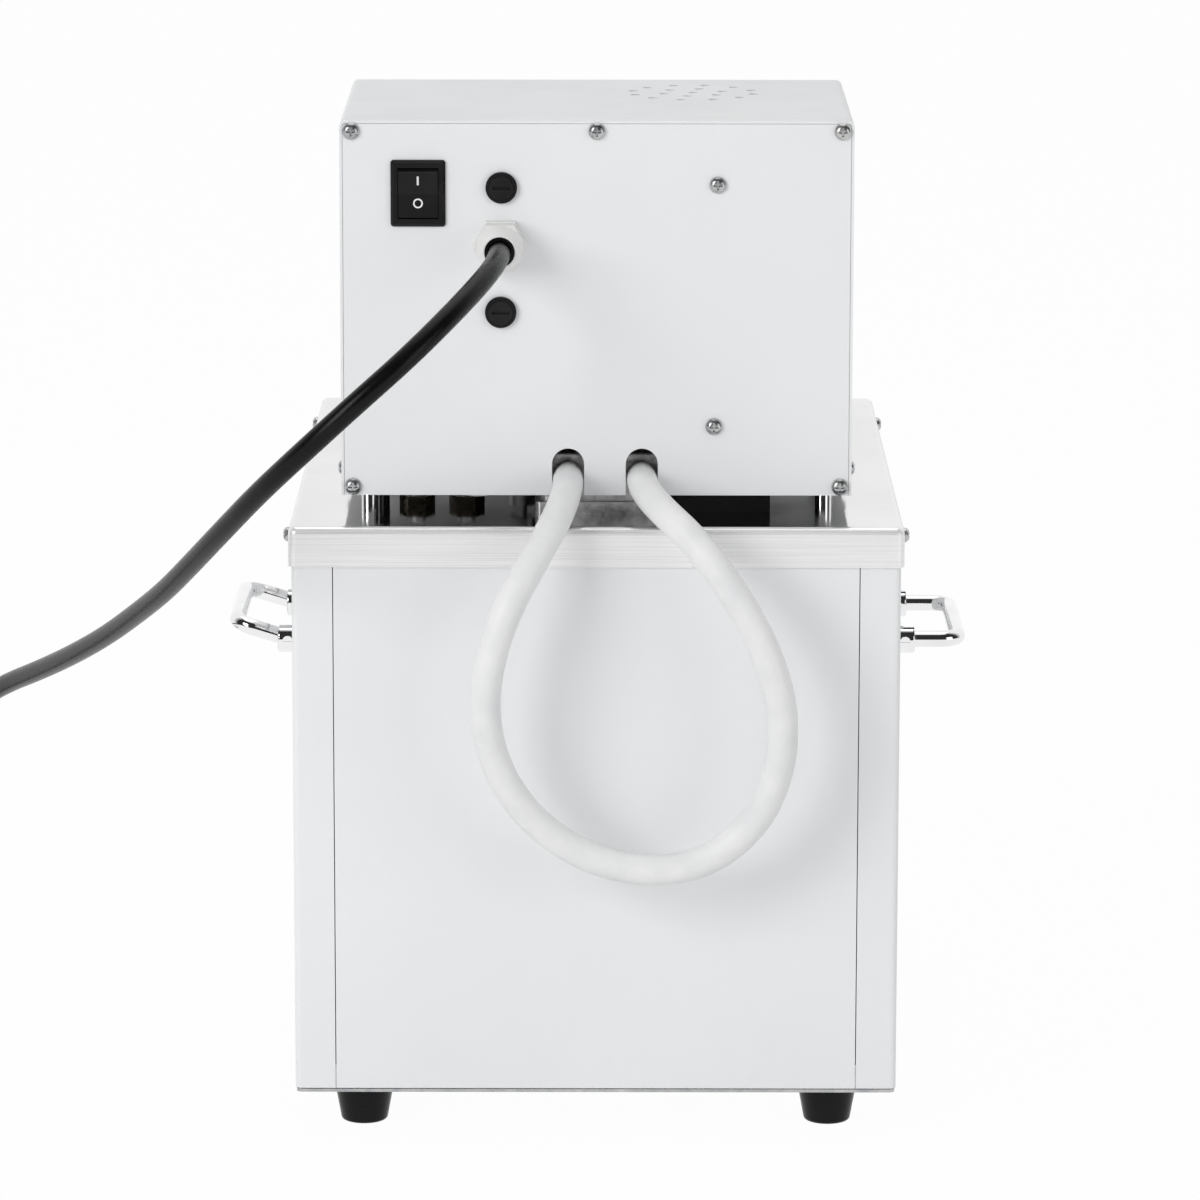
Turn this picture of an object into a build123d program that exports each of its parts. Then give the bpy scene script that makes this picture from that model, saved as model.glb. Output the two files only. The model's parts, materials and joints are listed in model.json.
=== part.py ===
from build123d import *
from math import acos, cos, degrees, pi, radians, sin, sqrt, tan
import os

# Circulating oil bath with a pump and control head on its deck. Lengths are millimetres, +Z is up.
# The origin is the middle of the footprint on the bench. The service side with the switch, the fuses
# and the hose faces -Y, and the side where the operator stands faces +Y.

# Feet and bottom tray
foot_height = 22.0
foot_top_diameter = 30.0
foot_bottom_diameter = 22.0
foot_edge_radius = 2.0
foot_spread_x = 111.7
foot_spread_y = 151.5
foot_screw_diameter = 5.0
foot_bore_diameter = 12.0
foot_bore_depth = 12.0
tray_sheet = 1.5
tray_lip = 12.0
tray_inset = 0.5

# Case
case_width = 287.0
case_depth = 367.0
case_height = 271.7
case_sheet = 1.2
case_bend = 3.0
case_gap = 0.6
seam_half_width = 124.3
seam_gap = 0.45
seam_flange = 9.0
case_top_flange = 12.0

# Deck
deck_sheet = 1.2
deck_fit = 0.3
deck_skirt = 19.0
deck_bend = 3.5
deck_corner = 4.0
deck_screw_drop = 6.0
deck_screw_back_y = -170.0
deck_screw_front_y = 137.0

# Tank and its insulation
tank_width = 216.0
tank_back_y = -150.0
tank_front_y = 160.0
tank_depth = 198.8
tank_wall = 1.0
tank_corner = 20.0
tank_bottom_bend = 10.0
tank_flange = 8.0
opening_width = 170.0
opening_back_y = 24.0
opening_front_y = 158.0
opening_corner = 12.0
collar_height = 3.0
insulation_side_gap = 4.3
insulation_back_gap = 11.3
insulation_front_gap = 3.0
insulation_top_gap = 5.8
insulation_tank_gap = 0.3

# Lid
lid_sheet = 1.0
lid_play = 0.8
lid_skirt = 2.4
lid_knob_diameter = 28.0
lid_knob_height = 22.0

# Head
post_diameter = 8.0
post_height = 11.0
post_spread_x = 108.5
post_back_y = -121.0
post_front_y = -34.0
head_width = 241.0
head_back_y = -161.0
head_front_y = 4.0
head_height = 178.0
head_sheet = 1.3
head_bend = 3.0
head_rim = 8.0
panel_side_play = 0.2
panel_bottom_play = 0.2
base_side_flange = 14.0
base_end_flange = 12.0
panel_screw_side_x = 115.0
panel_screw_top_z = 481.0
panel_screw_bottom_z = 312.4
cover_screw_back_y = -130.0
cover_screw_front_y = -27.0
cover_screw_z = 316.0
vent_hole_diameter = 4.7
vent_ring_radius = 14.85
vent_ring_turn = 18.0

# Screws
panel_screw_head = 8.0
side_screw_head = 7.0
screw_head_height = 2.6
screw_shank_diameter = 4.0
screw_shank_length = 7.0
screw_hole_play = 0.1
recess_width = 1.0
recess_reach = 4.4
recess_depth = 1.3

# Circulation pump
pump_x = 46.6
pump_y = -48.5
motor_diameter = 72.0
motor_height = 95.7
motor_flange_diameter = 92.0
motor_flange_height = 5.0
motor_bolt_circle = 83.0
shaft_diameter = 8.0
shaft_play = 0.1
fan_diameter = 60.0
fan_height = 12.0
fan_gap = 7.0
fan_blades = 7
motor_base_left_x = 10.7
motor_base_right_x = 82.5
motor_base_back_y = -144.0
motor_base_front_y = -10.0
motor_base_bore = 51.0
column_outer = 26.0
column_inner = 22.0
column_flange_diameter = 49.0
column_flange_height = 3.0
housing_diameter = 60.0
housing_height = 22.0
housing_floor_clearance = 15.0
housing_wall = 3.0
housing_inlet_diameter = 22.0
impeller_diameter = 46.0
impeller_height = 11.0
impeller_blades = 6

# Circulation ports
port_in_x = -13.4
port_out_x = 21.4
port_z = 315.5
hose_diameter = 14.5
hose_bore = 9.5
block_back_y = -151.0
block_front_y = -127.0
block_left_x = -29.0
block_right_x = 37.0
block_height = 30.0
block_foot = 6.0
block_step = 2.5
pipe_y = -139.0
pipe_diameter = 12.0
pipe_bore = 10.0
pipe_play = 0.1
pipe_bend = 16.0
spigot_diameter = 9.3
spigot_bore = 6.0
spigot_length = 21.0
spigot_barb = 10.3
notch_half_width = 7.6
notch_top_z = 330.6
base_cutout_margin = 2.0
base_cutout_front_y = -100.0

# Heater, probe and leads
heater_diameter = 8.0
heater_lift = 8.0
heater_bend = 16.0
heater_left_x = -85.7
heater_inner_x = -62.0
heater_right_x = 84.0
heater_back_y = -125.0
heater_middle_y = 6.0
heater_front_y = 140.0
bushing_diameter = 17.0
bushing_height = 5.0
probe_diameter = 5.0
probe_x = -36.0
probe_y = -96.0
probe_length = 150.0
lead_diameter = 5.0
lead_x = -101.5
lead_y = -121.0
cable_bushing_diameter = 12.0
cable_bushing_x = -56.0
cable_bushing_y = -150.0

# Main switch
switch_x = -83.7
switch_z = 451.9
bezel_width = 25.7
bezel_height = 31.4
bezel_proud = 2.2
bezel_edge = 1.2
switch_body_width = 22.4
switch_body_height = 28.5
switch_body_depth = 20.0
switch_opening_width = 19.2
switch_opening_height = 24.0
switch_cavity_depth = 13.0
rocker_width = 18.6
rocker_reach = 11.7
rocker_pivot_y = -160.5
rocker_end_front = 4.2
rocker_middle_front = 2.2
rocker_rest_angle = 10.0
rocker_pin_diameter = 3.0
terminal_width = 6.3
terminal_sheet = 0.8
terminal_length = 9.0

# Fuse holders
fuse_upper_x = -44.7
fuse_upper_z = 454.6
fuse_lower_x = -45.1
fuse_lower_z = 395.7
fuse_flange_diameter = 14.8
fuse_flange_height = 2.6
fuse_body_diameter = 12.0
fuse_body_length = 32.0
fuse_cap_diameter = 11.4
fuse_cap_proud = 0.8
fuse_cap_depth = 2.0
fuse_stem_diameter = 8.0
fuse_stem_length = 6.0
fuse_cap_play = 0.1
fuse_slot_width = 1.4
fuse_slot_depth = 1.2
fuse_diameter = 5.2
fuse_length = 20.0
fuse_chamber_diameter = 5.8
fuse_nut_width = 16.0
fuse_nut_height = 3.0

# Mains lead and its gland
gland_x = -45.2
gland_z = 427.5
gland_hex = 23.0
gland_hex_height = 5.0
gland_thread = 18.0
gland_thread_length = 9.0
gland_nut_hex = 22.0
gland_nut_height = 9.0
gland_end_diameter = 15.5
gland_end_y = -186.0
locknut_hex = 23.0
locknut_height = 4.0
lead_clearance = 0.3
cord_diameter = 10.2
cord_length = 1800.0
tail_length = 51.0
tail_rise = 8.4
coil_centre_x = -463.0
coil_centre_y = 140.5
coil_inner_radius = 46.5
coil_pitch = 10.5
plug_body_width = 34.0
plug_body_height = 27.0
plug_body_length = 38.0
plug_collar_length = 22.0
plug_blade_width = 6.3
plug_blade_sheet = 1.5
plug_blade_length = 16.0
plug_blade_spread = 12.7
plug_earth_diameter = 4.8

# Relay on the head's back panel
bracket_screw_upper_x = 56.7
bracket_screw_upper_z = 455.9
bracket_screw_lower_x = 55.4
bracket_screw_lower_z = 341.2
relay_plate_width = 50.0
relay_plate_sheet = 3.0
relay_plate_margin = 6.0
relay_width = 45.0
relay_height = 58.0
relay_depth = 22.0

# Controller on the operator's side
control_z = 402.0
control_width = 160.0
control_height = 84.0
control_proud = 3.0
control_edge = 4.0
control_box_width = 150.0
control_box_height = 74.0
control_box_depth = 14.0
control_box_wall = 2.0
window_width = 70.0
window_height = 28.0
window_z = 414.0
window_glass = 2.0
board_sheet = 1.6
board_y = -8.5
key_count = 4
key_pitch = 28.0
key_width = 15.0
key_height = 8.0
key_z = 378.0
key_play = 0.3
key_proud = 1.2
key_flange = 1.2
key_flange_sheet = 1.0
key_travel = 0.8
tact_width = 6.0
tact_height = 4.3

# Handles
boss_diameter = 14.0
boss_length = 13.6
boss_edge = 1.0
boss_z = 215.0
boss_spread_y = 45.0
slot_width = 8.3
slot_depth = 9.6
slot_floor = 4.15
pin_diameter = 3.0
pin_offset = 8.7
pin_play = 0.08
pin_head_diameter = 5.0
pin_head_height = 0.6
bail_diameter = 8.0
bail_reach = 26.3
bail_corner = 9.0
bail_left_tilt = 17.0
boss_screw_diameter = 5.0

# Levels that follow from the sizes above
tray_bottom = foot_height
tray_top = tray_bottom + tray_sheet
case_bottom = tray_top + case_gap
case_top = case_bottom + case_height
deck_top = case_top + deck_sheet
deck_screw_z = deck_top - deck_screw_drop
tank_floor = case_top - tank_depth
collar_top = deck_top + collar_height
head_bottom = deck_top + post_height
base_top = head_bottom + head_sheet
head_top = head_bottom + head_height
panel_bottom = head_bottom + panel_bottom_play

# Widths and faces that follow
deck_width = case_width + 2 * (deck_fit + deck_sheet)
deck_depth = case_depth + 2 * (deck_fit + deck_sheet)
case_inner_x = case_width / 2 - case_sheet
case_inner_y = case_depth / 2 - case_sheet
case_side_x = case_width / 2
tank_length = tank_front_y - tank_back_y
tank_centre_y = (tank_front_y + tank_back_y) / 2
opening_length = opening_front_y - opening_back_y
opening_centre_y = (opening_front_y + opening_back_y) / 2
head_depth = head_front_y - head_back_y
head_centre_y = (head_front_y + head_back_y) / 2
head_inner_x = head_width / 2 - head_sheet
head_inner_top = head_top - head_sheet
panel_half_width = head_inner_x - panel_side_play
back_rim_y = head_back_y + head_sheet
front_rim_y = head_front_y - head_sheet
motor_bottom = base_top
motor_top = motor_bottom + motor_height
fan_bottom = motor_top + fan_gap
shaft_top = fan_bottom + fan_height + 4.0
housing_bottom = tank_floor + housing_floor_clearance
housing_top = housing_bottom + housing_height
heater_z = tank_floor + heater_lift
board_front_y = board_y + board_sheet

os.makedirs("parts", exist_ok=True)


def block(x, y, z):
    """A box between three (low, high) pairs."""
    middle = [(low + high) / 2 for low, high in (x, y, z)]
    return Pos(*middle) * Box(x[1] - x[0], y[1] - y[0], z[1] - z[0])


def upright(x, y, z, diameter):
    """A round bar along Z between a (low, high) pair."""
    return Pos(x, y, (z[0] + z[1]) / 2) * Cylinder(diameter / 2, z[1] - z[0])


def along_x(x, y, z, diameter):
    """A round bar along X between a (low, high) pair."""
    return Pos((x[0] + x[1]) / 2, y, z) * Rot(0, 90, 0) * Cylinder(diameter / 2, x[1] - x[0])


def along_y(x, y, z, diameter):
    """A round bar along Y between a (low, high) pair."""
    return Pos(x, (y[0] + y[1]) / 2, z) * Rot(90, 0, 0) * Cylinder(diameter / 2, y[1] - y[0])


def rounded_block(width, depth, z, radius, x=0.0, y=0.0):
    """A box with rounded upright corners between a (low, high) pair."""
    return extrude(Pos(x, y, z[0]) * RectangleRounded(width, depth, radius), z[1] - z[0])


def rounded_panel(width, height, y, radius, x=0.0, z=0.0):
    """A box with rounded corners in XZ that spans a (low, high) pair along Y."""
    outline = Plane(origin=(x, y[0], z), x_dir=(-1, 0, 0), z_dir=(0, 1, 0)) * RectangleRounded(width, height, radius)
    return extrude(outline, y[1] - y[0])


def hexagon(across_flats, y, x, z):
    """A hexagon with a corner to each side that spans a (low, high) pair along Y."""
    outline = Plane(origin=(x, y[0], z), x_dir=(-1, 0, 0), z_dir=(0, 1, 0))
    return extrude(outline * RegularPolygon(across_flats / sqrt(3), 6), y[1] - y[0])


def union(pieces):
    """One solid from overlapping or touching pieces."""
    whole = pieces[0]
    for piece in pieces[1:]:
        whole = whole + piece
    return whole


def save(name, *pieces):
    """Write one node. Pieces that don't touch stay separate solids in it."""
    solids = [solid for piece in pieces for solid in piece.solids()]
    shape = solids[0] if len(solids) == 1 else Compound(solids)
    export_step(shape, f"parts/{name}.step")


def pan_screw(head, length, shank=screw_shank_diameter):
    """A cross-recessed pan head screw that stands on Z = 0 with its shank pointing down."""
    radius = head / 2
    rim = screw_head_height * 0.35
    with BuildSketch(Plane.XZ) as profile:
        with BuildLine():
            Polyline((0, screw_head_height), (0, -length), (shank / 2, -length), (shank / 2, 0), (radius, 0),
                     (radius, rim))
            ThreePointArc((radius, rim), (radius * 0.72, screw_head_height * 0.86), (0, screw_head_height))
        make_face()
    screw = revolve(profile.sketch, Axis.Z)
    reach = recess_reach / 2
    width = recess_width / 2
    depth = (screw_head_height - recess_depth, screw_head_height + 1)
    return screw - block((-reach, reach), (-width, width), depth) - block((-width, width), (-reach, reach), depth)


def facing(x, y, z, side):
    """A place whose Z points to one side of the object: left, right, back, front or down."""
    normal = {"left": (-1, 0, 0), "right": (1, 0, 0), "back": (0, -1, 0), "front": (0, 1, 0), "down": (0, 0, -1)}[side]
    sideways = (0, 1, 0) if normal[1] == 0 else (1, 0, 0)
    return Plane(origin=(x, y, z), x_dir=sideways, z_dir=normal)


def tube_path(points):
    """A path of straight runs and arcs, each arc as large as its two runs allow."""
    vectors = [Vector(*point) for point in points]
    radii = []
    for before, here, after in zip(vectors, vectors[1:], vectors[2:]):
        turn = radians((here - before).get_angle(after - here))
        radii.append(0.45 * min((here - before).length, (after - here).length) / tan(turn / 2))
    return FilletPolyline(*points, radius=radii), radii


def tube(name, points, diameter, bore=0.0):
    """A free cord or hose along its route; prints its radii, length and volume check."""
    path, radii = tube_path(points)
    section = Circle(diameter / 2)
    area = pi * diameter ** 2 / 4
    if bore:
        section = section - Circle(bore / 2)
        area = area - pi * bore ** 2 / 4
    solid = sweep(Plane(origin=path @ 0, z_dir=path % 0) * section, path=path)
    print(name, "length", round(path.length, 1), "smallest radius in diameters", round(min(radii) / diameter, 2))
    print(name, "radii", [round(radius, 1) for radius in radii])
    print(name, "volume over section times length", round(solid.volume / (area * path.length), 4))
    return solid, path.length


# Feet, tray and case

def feet_places():
    return [(x, y) for x in (-foot_spread_x, foot_spread_x) for y in (-foot_spread_y, foot_spread_y)]


def make_feet():
    with BuildSketch(Plane.XZ) as profile:
        with BuildLine():
            Polyline((0, 0), (foot_bottom_diameter / 2, 0), (foot_top_diameter / 2, foot_height), (0, foot_height),
                     close=True)
        make_face()
        fillet(profile.vertices().sort_by(Axis.Y)[:2].sort_by(Axis.X)[-1], foot_edge_radius)
    cone = revolve(profile.sketch, Axis.Z)
    cone -= upright(0, 0, (-1, foot_bore_depth), foot_bore_diameter)
    cone -= upright(0, 0, (0, foot_height + 1), foot_screw_diameter + 2 * screw_hole_play)
    return [Pos(x, y, 0) * cone for x, y in feet_places()]


def make_foot_screws():
    """Each screw comes up through its foot into a nut on the tray."""
    length = foot_height - foot_bore_depth + tray_sheet + 6.0
    screw = Pos(0, 0, foot_bore_depth) * Rot(180, 0, 0) * pan_screw(10.0, length, foot_screw_diameter)
    nut = extrude(Pos(0, 0, tray_top) * RegularPolygon(4.6, 6), 4.0)
    return [Pos(x, y, 0) * (screw + nut) for x, y in feet_places()]


def make_bottom_tray():
    plate = rounded_block(case_width - 2 * tray_inset, case_depth - 2 * tray_inset, (tray_bottom, tray_top), case_bend)
    lip_radius = case_bend - case_sheet
    lip = rounded_block(2 * case_inner_x, 2 * case_inner_y, (tray_top, tray_top + tray_lip), lip_radius)
    lip -= rounded_block(2 * (case_inner_x - tray_sheet), 2 * (case_inner_y - tray_sheet),
                         (tray_top, tray_top + tray_lip), 0.3)
    tray = plate + lip
    for x, y in feet_places():
        tray -= upright(x, y, (tray_bottom - 1, tray_top + 1), foot_screw_diameter + 2 * screw_hole_play)
    return tray


def handle_places(side):
    return [(side * case_side_x, y, boss_z) for y in (-boss_spread_y, boss_spread_y)]


def make_case_shell():
    """One sheet bent round the front and both sides and in at the top, with returns beside the rear panel."""
    shell = rounded_block(case_width, case_depth, (case_bottom, case_top), case_bend)
    shell = fillet(shell.faces().sort_by(Axis.Z)[-1].edges(), case_bend)
    hollow = rounded_block(2 * case_inner_x, 2 * case_inner_y, (case_bottom - 1, case_top - case_sheet),
                           case_bend - case_sheet)
    shell -= fillet(hollow.faces().sort_by(Axis.Z)[-1].edges(), case_bend - case_sheet)
    shell -= rounded_block(2 * (case_inner_x - case_top_flange), 2 * (case_inner_y - case_top_flange),
                           (case_top - case_sheet - 1, case_top + 1), case_bend)
    shell -= block((-seam_half_width, seam_half_width), (-case_depth / 2 - 1, -case_inner_y + case_top_flange + 1),
                   (case_bottom - 1, case_top + 1))
    seam_z = (case_bottom + tray_lip + 1, case_top - case_bend)
    for side in (-1, 1):
        inner = sorted((side * seam_half_width, side * (seam_half_width + case_sheet)))
        shell += block(inner, (-case_inner_y, -case_inner_y + seam_flange), seam_z)
        for x, y, z in handle_places(side):
            hole = sorted((x - side * 3, x + side * 1))
            shell -= along_x(hole, y, z, boss_screw_diameter + 2 * screw_hole_play)
        for y in (deck_screw_back_y, deck_screw_front_y):
            hole = sorted((side * (case_side_x - 3), side * (case_side_x + 1)))
            shell -= along_x(hole, y, deck_screw_z, screw_shank_diameter + 2 * screw_hole_play)
    return shell


def make_rear_panel():
    """A flat panel between the seams, bent in at the top and at both seams."""
    half = seam_half_width - seam_gap
    back = -case_depth / 2
    panel = block((-half, half), (back, back + case_sheet + case_top_flange), (case_bottom, case_top))
    panel = fillet(panel.edges().filter_by(Axis.X).group_by(Axis.Z)[-1].sort_by(Axis.Y)[0], case_bend)
    inner = block((-half - 1, half + 1), (back + case_sheet, back + case_depth / 2),
                  (case_bottom - 1, case_top - case_sheet))
    panel -= fillet(inner.edges().filter_by(Axis.X).group_by(Axis.Z)[-1].sort_by(Axis.Y)[0], case_bend - case_sheet)
    for side in (-1, 1):
        edge = sorted((side * half, side * (half - case_sheet)))
        panel += block(edge, (back + case_sheet, back + case_sheet + seam_flange),
                       (case_bottom + tray_lip + 1, case_top - case_bend))
    return panel


# Deck, tank and lid

def make_deck():
    """A drawn stainless top with a skirt round the case and a collar round the bath opening."""
    skirt_bottom = deck_top - deck_skirt
    skin = rounded_block(deck_width, deck_depth, (skirt_bottom, deck_top), deck_corner)
    skin = fillet(skin.faces().sort_by(Axis.Z)[-1].edges(), deck_bend)
    hollow = rounded_block(deck_width - 2 * deck_sheet, deck_depth - 2 * deck_sheet, (skirt_bottom - 1, case_top),
                           deck_corner - deck_sheet)
    hollow = fillet(hollow.faces().sort_by(Axis.Z)[-1].edges(), deck_bend - deck_sheet)
    deck = skin - hollow
    deck += rounded_block(opening_width + 2 * deck_sheet, opening_length + 2 * deck_sheet, (case_top, collar_top),
                          opening_corner + deck_sheet, 0, opening_centre_y)
    deck -= rounded_block(opening_width, opening_length, (case_top - 1, collar_top + 1), opening_corner, 0,
                          opening_centre_y)
    through = (case_top - 1, deck_top + 1)
    deck -= upright(pump_x, pump_y, through, column_outer + 2 * pipe_play)
    for x in (port_in_x, port_out_x):
        deck -= upright(x, pipe_y, through, pipe_diameter + 2 * pipe_play)
    for x in (heater_left_x, heater_inner_x):
        deck -= upright(x, heater_back_y, through, heater_diameter + 2)
    deck -= upright(probe_x, probe_y, through, probe_diameter + 2)
    for side in (-1, 1):
        for y in (deck_screw_back_y, deck_screw_front_y):
            hole = sorted((side * (deck_width / 2 - 3), side * (deck_width / 2 + 1)))
            deck -= along_x(hole, y, deck_screw_z, screw_shank_diameter + 2 * screw_hole_play)
    return deck


def make_deck_screws():
    screws = []
    for x, side in ((-deck_width / 2, "left"), (deck_width / 2, "right")):
        for y in (deck_screw_back_y, deck_screw_front_y):
            screws.append(facing(x, y, deck_screw_z, side) * pan_screw(side_screw_head, screw_shank_length))
    return screws


def tank_block(grow, bottom, top):
    """The tank's form, grown outwards and downwards by a wall."""
    form = rounded_block(tank_width + 2 * grow, tank_length + 2 * grow, (bottom - grow, top), tank_corner + grow, 0,
                         tank_centre_y)
    return fillet(form.faces().sort_by(Axis.Z)[0].edges(), tank_bottom_bend + grow)


def make_tank():
    tank = tank_block(tank_wall, tank_floor, case_top)
    tank += rounded_block(tank_width + 2 * (tank_wall + tank_flange), tank_length + 2 * (tank_wall + tank_flange),
                          (case_top - tank_wall, case_top), tank_corner + tank_flange, 0, tank_centre_y)
    return tank - tank_block(0, tank_floor, case_top + 1)


def make_insulation():
    """Mineral wool packed round the tank, with pockets for the nuts of the feet."""
    back = -case_inner_y + insulation_back_gap
    front = case_inner_y - insulation_front_gap
    side = case_inner_x - insulation_side_gap
    wool = block((-side, side), (back, front), (tray_top, case_top - insulation_top_gap))
    wool -= tank_block(tank_wall + insulation_tank_gap, tank_floor, case_top)
    for x, y in feet_places():
        wool -= upright(x, y, (tray_top - 1, tray_top + 9), 16)
    return wool


def make_lid():
    width = opening_width + 2 * (deck_sheet + lid_play)
    length = opening_length + 2 * (deck_sheet + lid_play)
    corner = opening_corner + deck_sheet + lid_play
    top = collar_top + lid_sheet
    lid = rounded_block(width + 2 * lid_sheet, length + 2 * lid_sheet, (collar_top - lid_skirt, top),
                        corner + lid_sheet, 0, opening_centre_y)
    lid = fillet(lid.faces().sort_by(Axis.Z)[-1].edges(), lid_sheet)
    lid -= rounded_block(width, length, (collar_top - lid_skirt - 1, collar_top), corner, 0, opening_centre_y)
    return lid - upright(0, opening_centre_y, (collar_top - 1, top + 1), screw_shank_diameter + 2 * screw_hole_play)


def make_lid_knob():
    """A turned black knob with a narrow neck and a stud that is riveted under the lid."""
    radius = lid_knob_diameter / 2
    neck = radius * 0.55
    waist = lid_knob_height * 0.45
    shoulder = lid_knob_height * 0.62
    seat = collar_top + lid_sheet
    place = Pos(0, opening_centre_y, seat)
    head = upright(0, 0, (shoulder, lid_knob_height), lid_knob_diameter)
    head = fillet(head.edges().sort_by(Axis.Z)[-1], lid_knob_height * 0.2)
    knob = head + Pos(0, 0, (waist + shoulder) / 2) * Cone(neck, radius, shoulder - waist)
    knob += upright(0, 0, (0, (waist + shoulder) / 2), 2 * neck)
    knob += Pos(0, 0, 1.5) * Cone(radius * 0.75, neck, 3)
    knob += upright(0, 0, (-lid_sheet - 1.5, 0), screw_shank_diameter)
    knob += upright(0, 0, (-lid_sheet - 1.5, -lid_sheet), side_screw_head)
    return place * knob


# Head

def post_places():
    return [(x, y) for x in (-post_spread_x, post_spread_x) for y in (post_back_y, post_front_y)]


def make_posts():
    return [upright(x, y, (deck_top, head_bottom), post_diameter) for x, y in post_places()]


def panel_screw_places():
    side = panel_screw_side_x
    top = panel_screw_top_z
    return [(-side, top), (0, top), (side, top), (-side, panel_screw_bottom_z), (side, panel_screw_bottom_z)]


def make_head_cover():
    """A sheet bent over both sides and the top, with narrow rims that the panels screw to."""
    outline = Plane.XZ * (Pos(0, (head_bottom + head_top) / 2) * Rectangle(head_width, head_height))
    outline = fillet(outline.vertices().sort_by(Axis.Z)[-2:], head_bend)
    inner = Plane.XZ * (Pos(0, (head_bottom + head_inner_top) / 2 - 1) * Rectangle(
        2 * head_inner_x, head_inner_top - head_bottom + 2))
    inner = fillet(inner.vertices().sort_by(Axis.Z)[-2:], head_bend - head_sheet)
    cover = Pos(0, head_front_y, 0) * extrude(outline - inner, head_depth)
    for low in (back_rim_y, front_rim_y - head_sheet):
        rim = block((-head_inner_x, head_inner_x), (low, low + head_sheet), (base_top, head_inner_top))
        rim -= block((-head_inner_x + head_rim, head_inner_x - head_rim), (low - 1, low + head_sheet + 1),
                     (head_bottom - 1, head_inner_top - head_rim))
        cover += rim
    for x, z in panel_screw_places():
        for y in (back_rim_y, front_rim_y):
            cover -= along_y(x, (y - 3, y + 3), z, screw_shank_diameter + 2 * screw_hole_play)
    for x, y in vent_places():
        cover -= upright(x, y, (head_inner_top - 1, head_top + 1), vent_hole_diameter)
    for side in (-1, 1):
        hole = sorted((side * (head_width / 2 - 3), side * (head_width / 2 + 1)))
        for y in (cover_screw_back_y, cover_screw_front_y):
            cover -= along_x(hole, y, cover_screw_z, screw_shank_diameter + 2 * screw_hole_play)
    return cover


def vent_places():
    """A hole in the middle and two rings of six and twelve, over the motor's fan."""
    places = [(pump_x, pump_y)]
    for ring in (1, 2):
        for step in range(6 * ring):
            angle = radians(vent_ring_turn + 60 * step / ring)
            places.append((pump_x + ring * vent_ring_radius * cos(angle), pump_y + ring * vent_ring_radius * sin(angle)))
    return places


def panel_blank(y):
    panel = block((-panel_half_width, panel_half_width), y, (panel_bottom, head_inner_top - panel_side_play))
    return fillet(panel.edges().filter_by(Axis.Y).group_by(Axis.Z)[-1], head_bend - head_sheet)


def make_back_panel():
    y = (head_back_y, back_rim_y)
    through = (y[0] - 1, y[1] + 1)
    panel = panel_blank(y)
    hole = screw_shank_diameter + 2 * screw_hole_play
    for x, z in panel_screw_places() + bracket_screw_places():
        panel -= along_y(x, through, z, hole)
    panel -= block((switch_x - switch_body_width / 2 - 0.1, switch_x + switch_body_width / 2 + 0.1), through,
                   (switch_z - switch_body_height / 2 - 0.1, switch_z + switch_body_height / 2 + 0.1))
    for x, z in fuse_places():
        panel -= along_y(x, through, z, fuse_body_diameter + 2 * screw_hole_play)
    panel -= along_y(gland_x, through, gland_z, gland_thread + 2 * screw_hole_play)
    arch = notch_top_z - notch_half_width
    for x in (port_in_x, port_out_x):
        panel -= along_y(x, through, arch, 2 * notch_half_width)
        panel -= block((x - notch_half_width, x + notch_half_width), through, (head_bottom - 1, arch))
    return panel


def make_front_panel():
    y = (front_rim_y, head_front_y)
    through = (y[0] - 1, y[1] + 1)
    panel = panel_blank(y)
    for x, z in panel_screw_places():
        panel -= along_y(x, through, z, screw_shank_diameter + 2 * screw_hole_play)
    half = control_box_width / 2 + panel_side_play
    rise = control_box_height / 2 + panel_side_play
    return panel - block((-half, half), through, (control_z - rise, control_z + rise))


def make_head_base():
    """A tray that carries the motor, with a cut-out for the port block and holes for what passes through."""
    back = back_rim_y + head_sheet
    front = front_rim_y - head_sheet
    base = block((-head_inner_x, head_inner_x), (head_back_y, head_front_y), (head_bottom, base_top))
    base -= block((-head_inner_x - 1, head_inner_x + 1), (head_back_y - 1, back_rim_y), (head_bottom - 1, base_top + 1))
    base -= block((-head_inner_x - 1, head_inner_x + 1), (front_rim_y, head_front_y + 1),
                  (head_bottom - 1, base_top + 1))
    for side in (-1, 1):
        edge = sorted((side * head_inner_x, side * (head_inner_x - head_sheet)))
        base += block(edge, (back, front), (head_bottom, base_top + base_side_flange))
        hole = sorted((side * (head_inner_x - 3), side * (head_inner_x + 1)))
        for y in (cover_screw_back_y, cover_screw_front_y):
            base -= along_x(hole, y, cover_screw_z, screw_shank_diameter + 2 * screw_hole_play)
    half = head_inner_x - head_rim - 0.3
    base += block((-half, half), (back_rim_y, back), (head_bottom, base_top + base_end_flange))
    base += block((-half, half), (front, front_rim_y), (head_bottom, base_top + base_end_flange))
    base -= block((block_left_x - base_cutout_margin, block_right_x + base_cutout_margin),
                  (head_back_y - 1, base_cutout_front_y), (head_bottom - 1, base_top + base_end_flange + 1))
    through = (head_bottom - 1, base_top + 1)
    base -= upright(pump_x, pump_y, through, column_outer)
    for x in (heater_left_x, heater_inner_x):
        base -= upright(x, heater_back_y, through, heater_diameter + 6)
    base -= upright(lead_x, lead_y, through, lead_diameter + 2 * screw_hole_play)
    base -= upright(probe_x, probe_y, through, probe_diameter + 6)
    base -= upright(cable_bushing_x, cable_bushing_y, through, cable_bushing_diameter + 2 * screw_hole_play)
    for x, y in motor_bolt_places():
        base -= upright(x, y, through, screw_shank_diameter + 2 * screw_hole_play)
    return base


def make_panel_screws(y, side):
    return [facing(x, y, z, side) * pan_screw(panel_screw_head, screw_shank_length)
            for x, z in panel_screw_places()]


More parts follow.
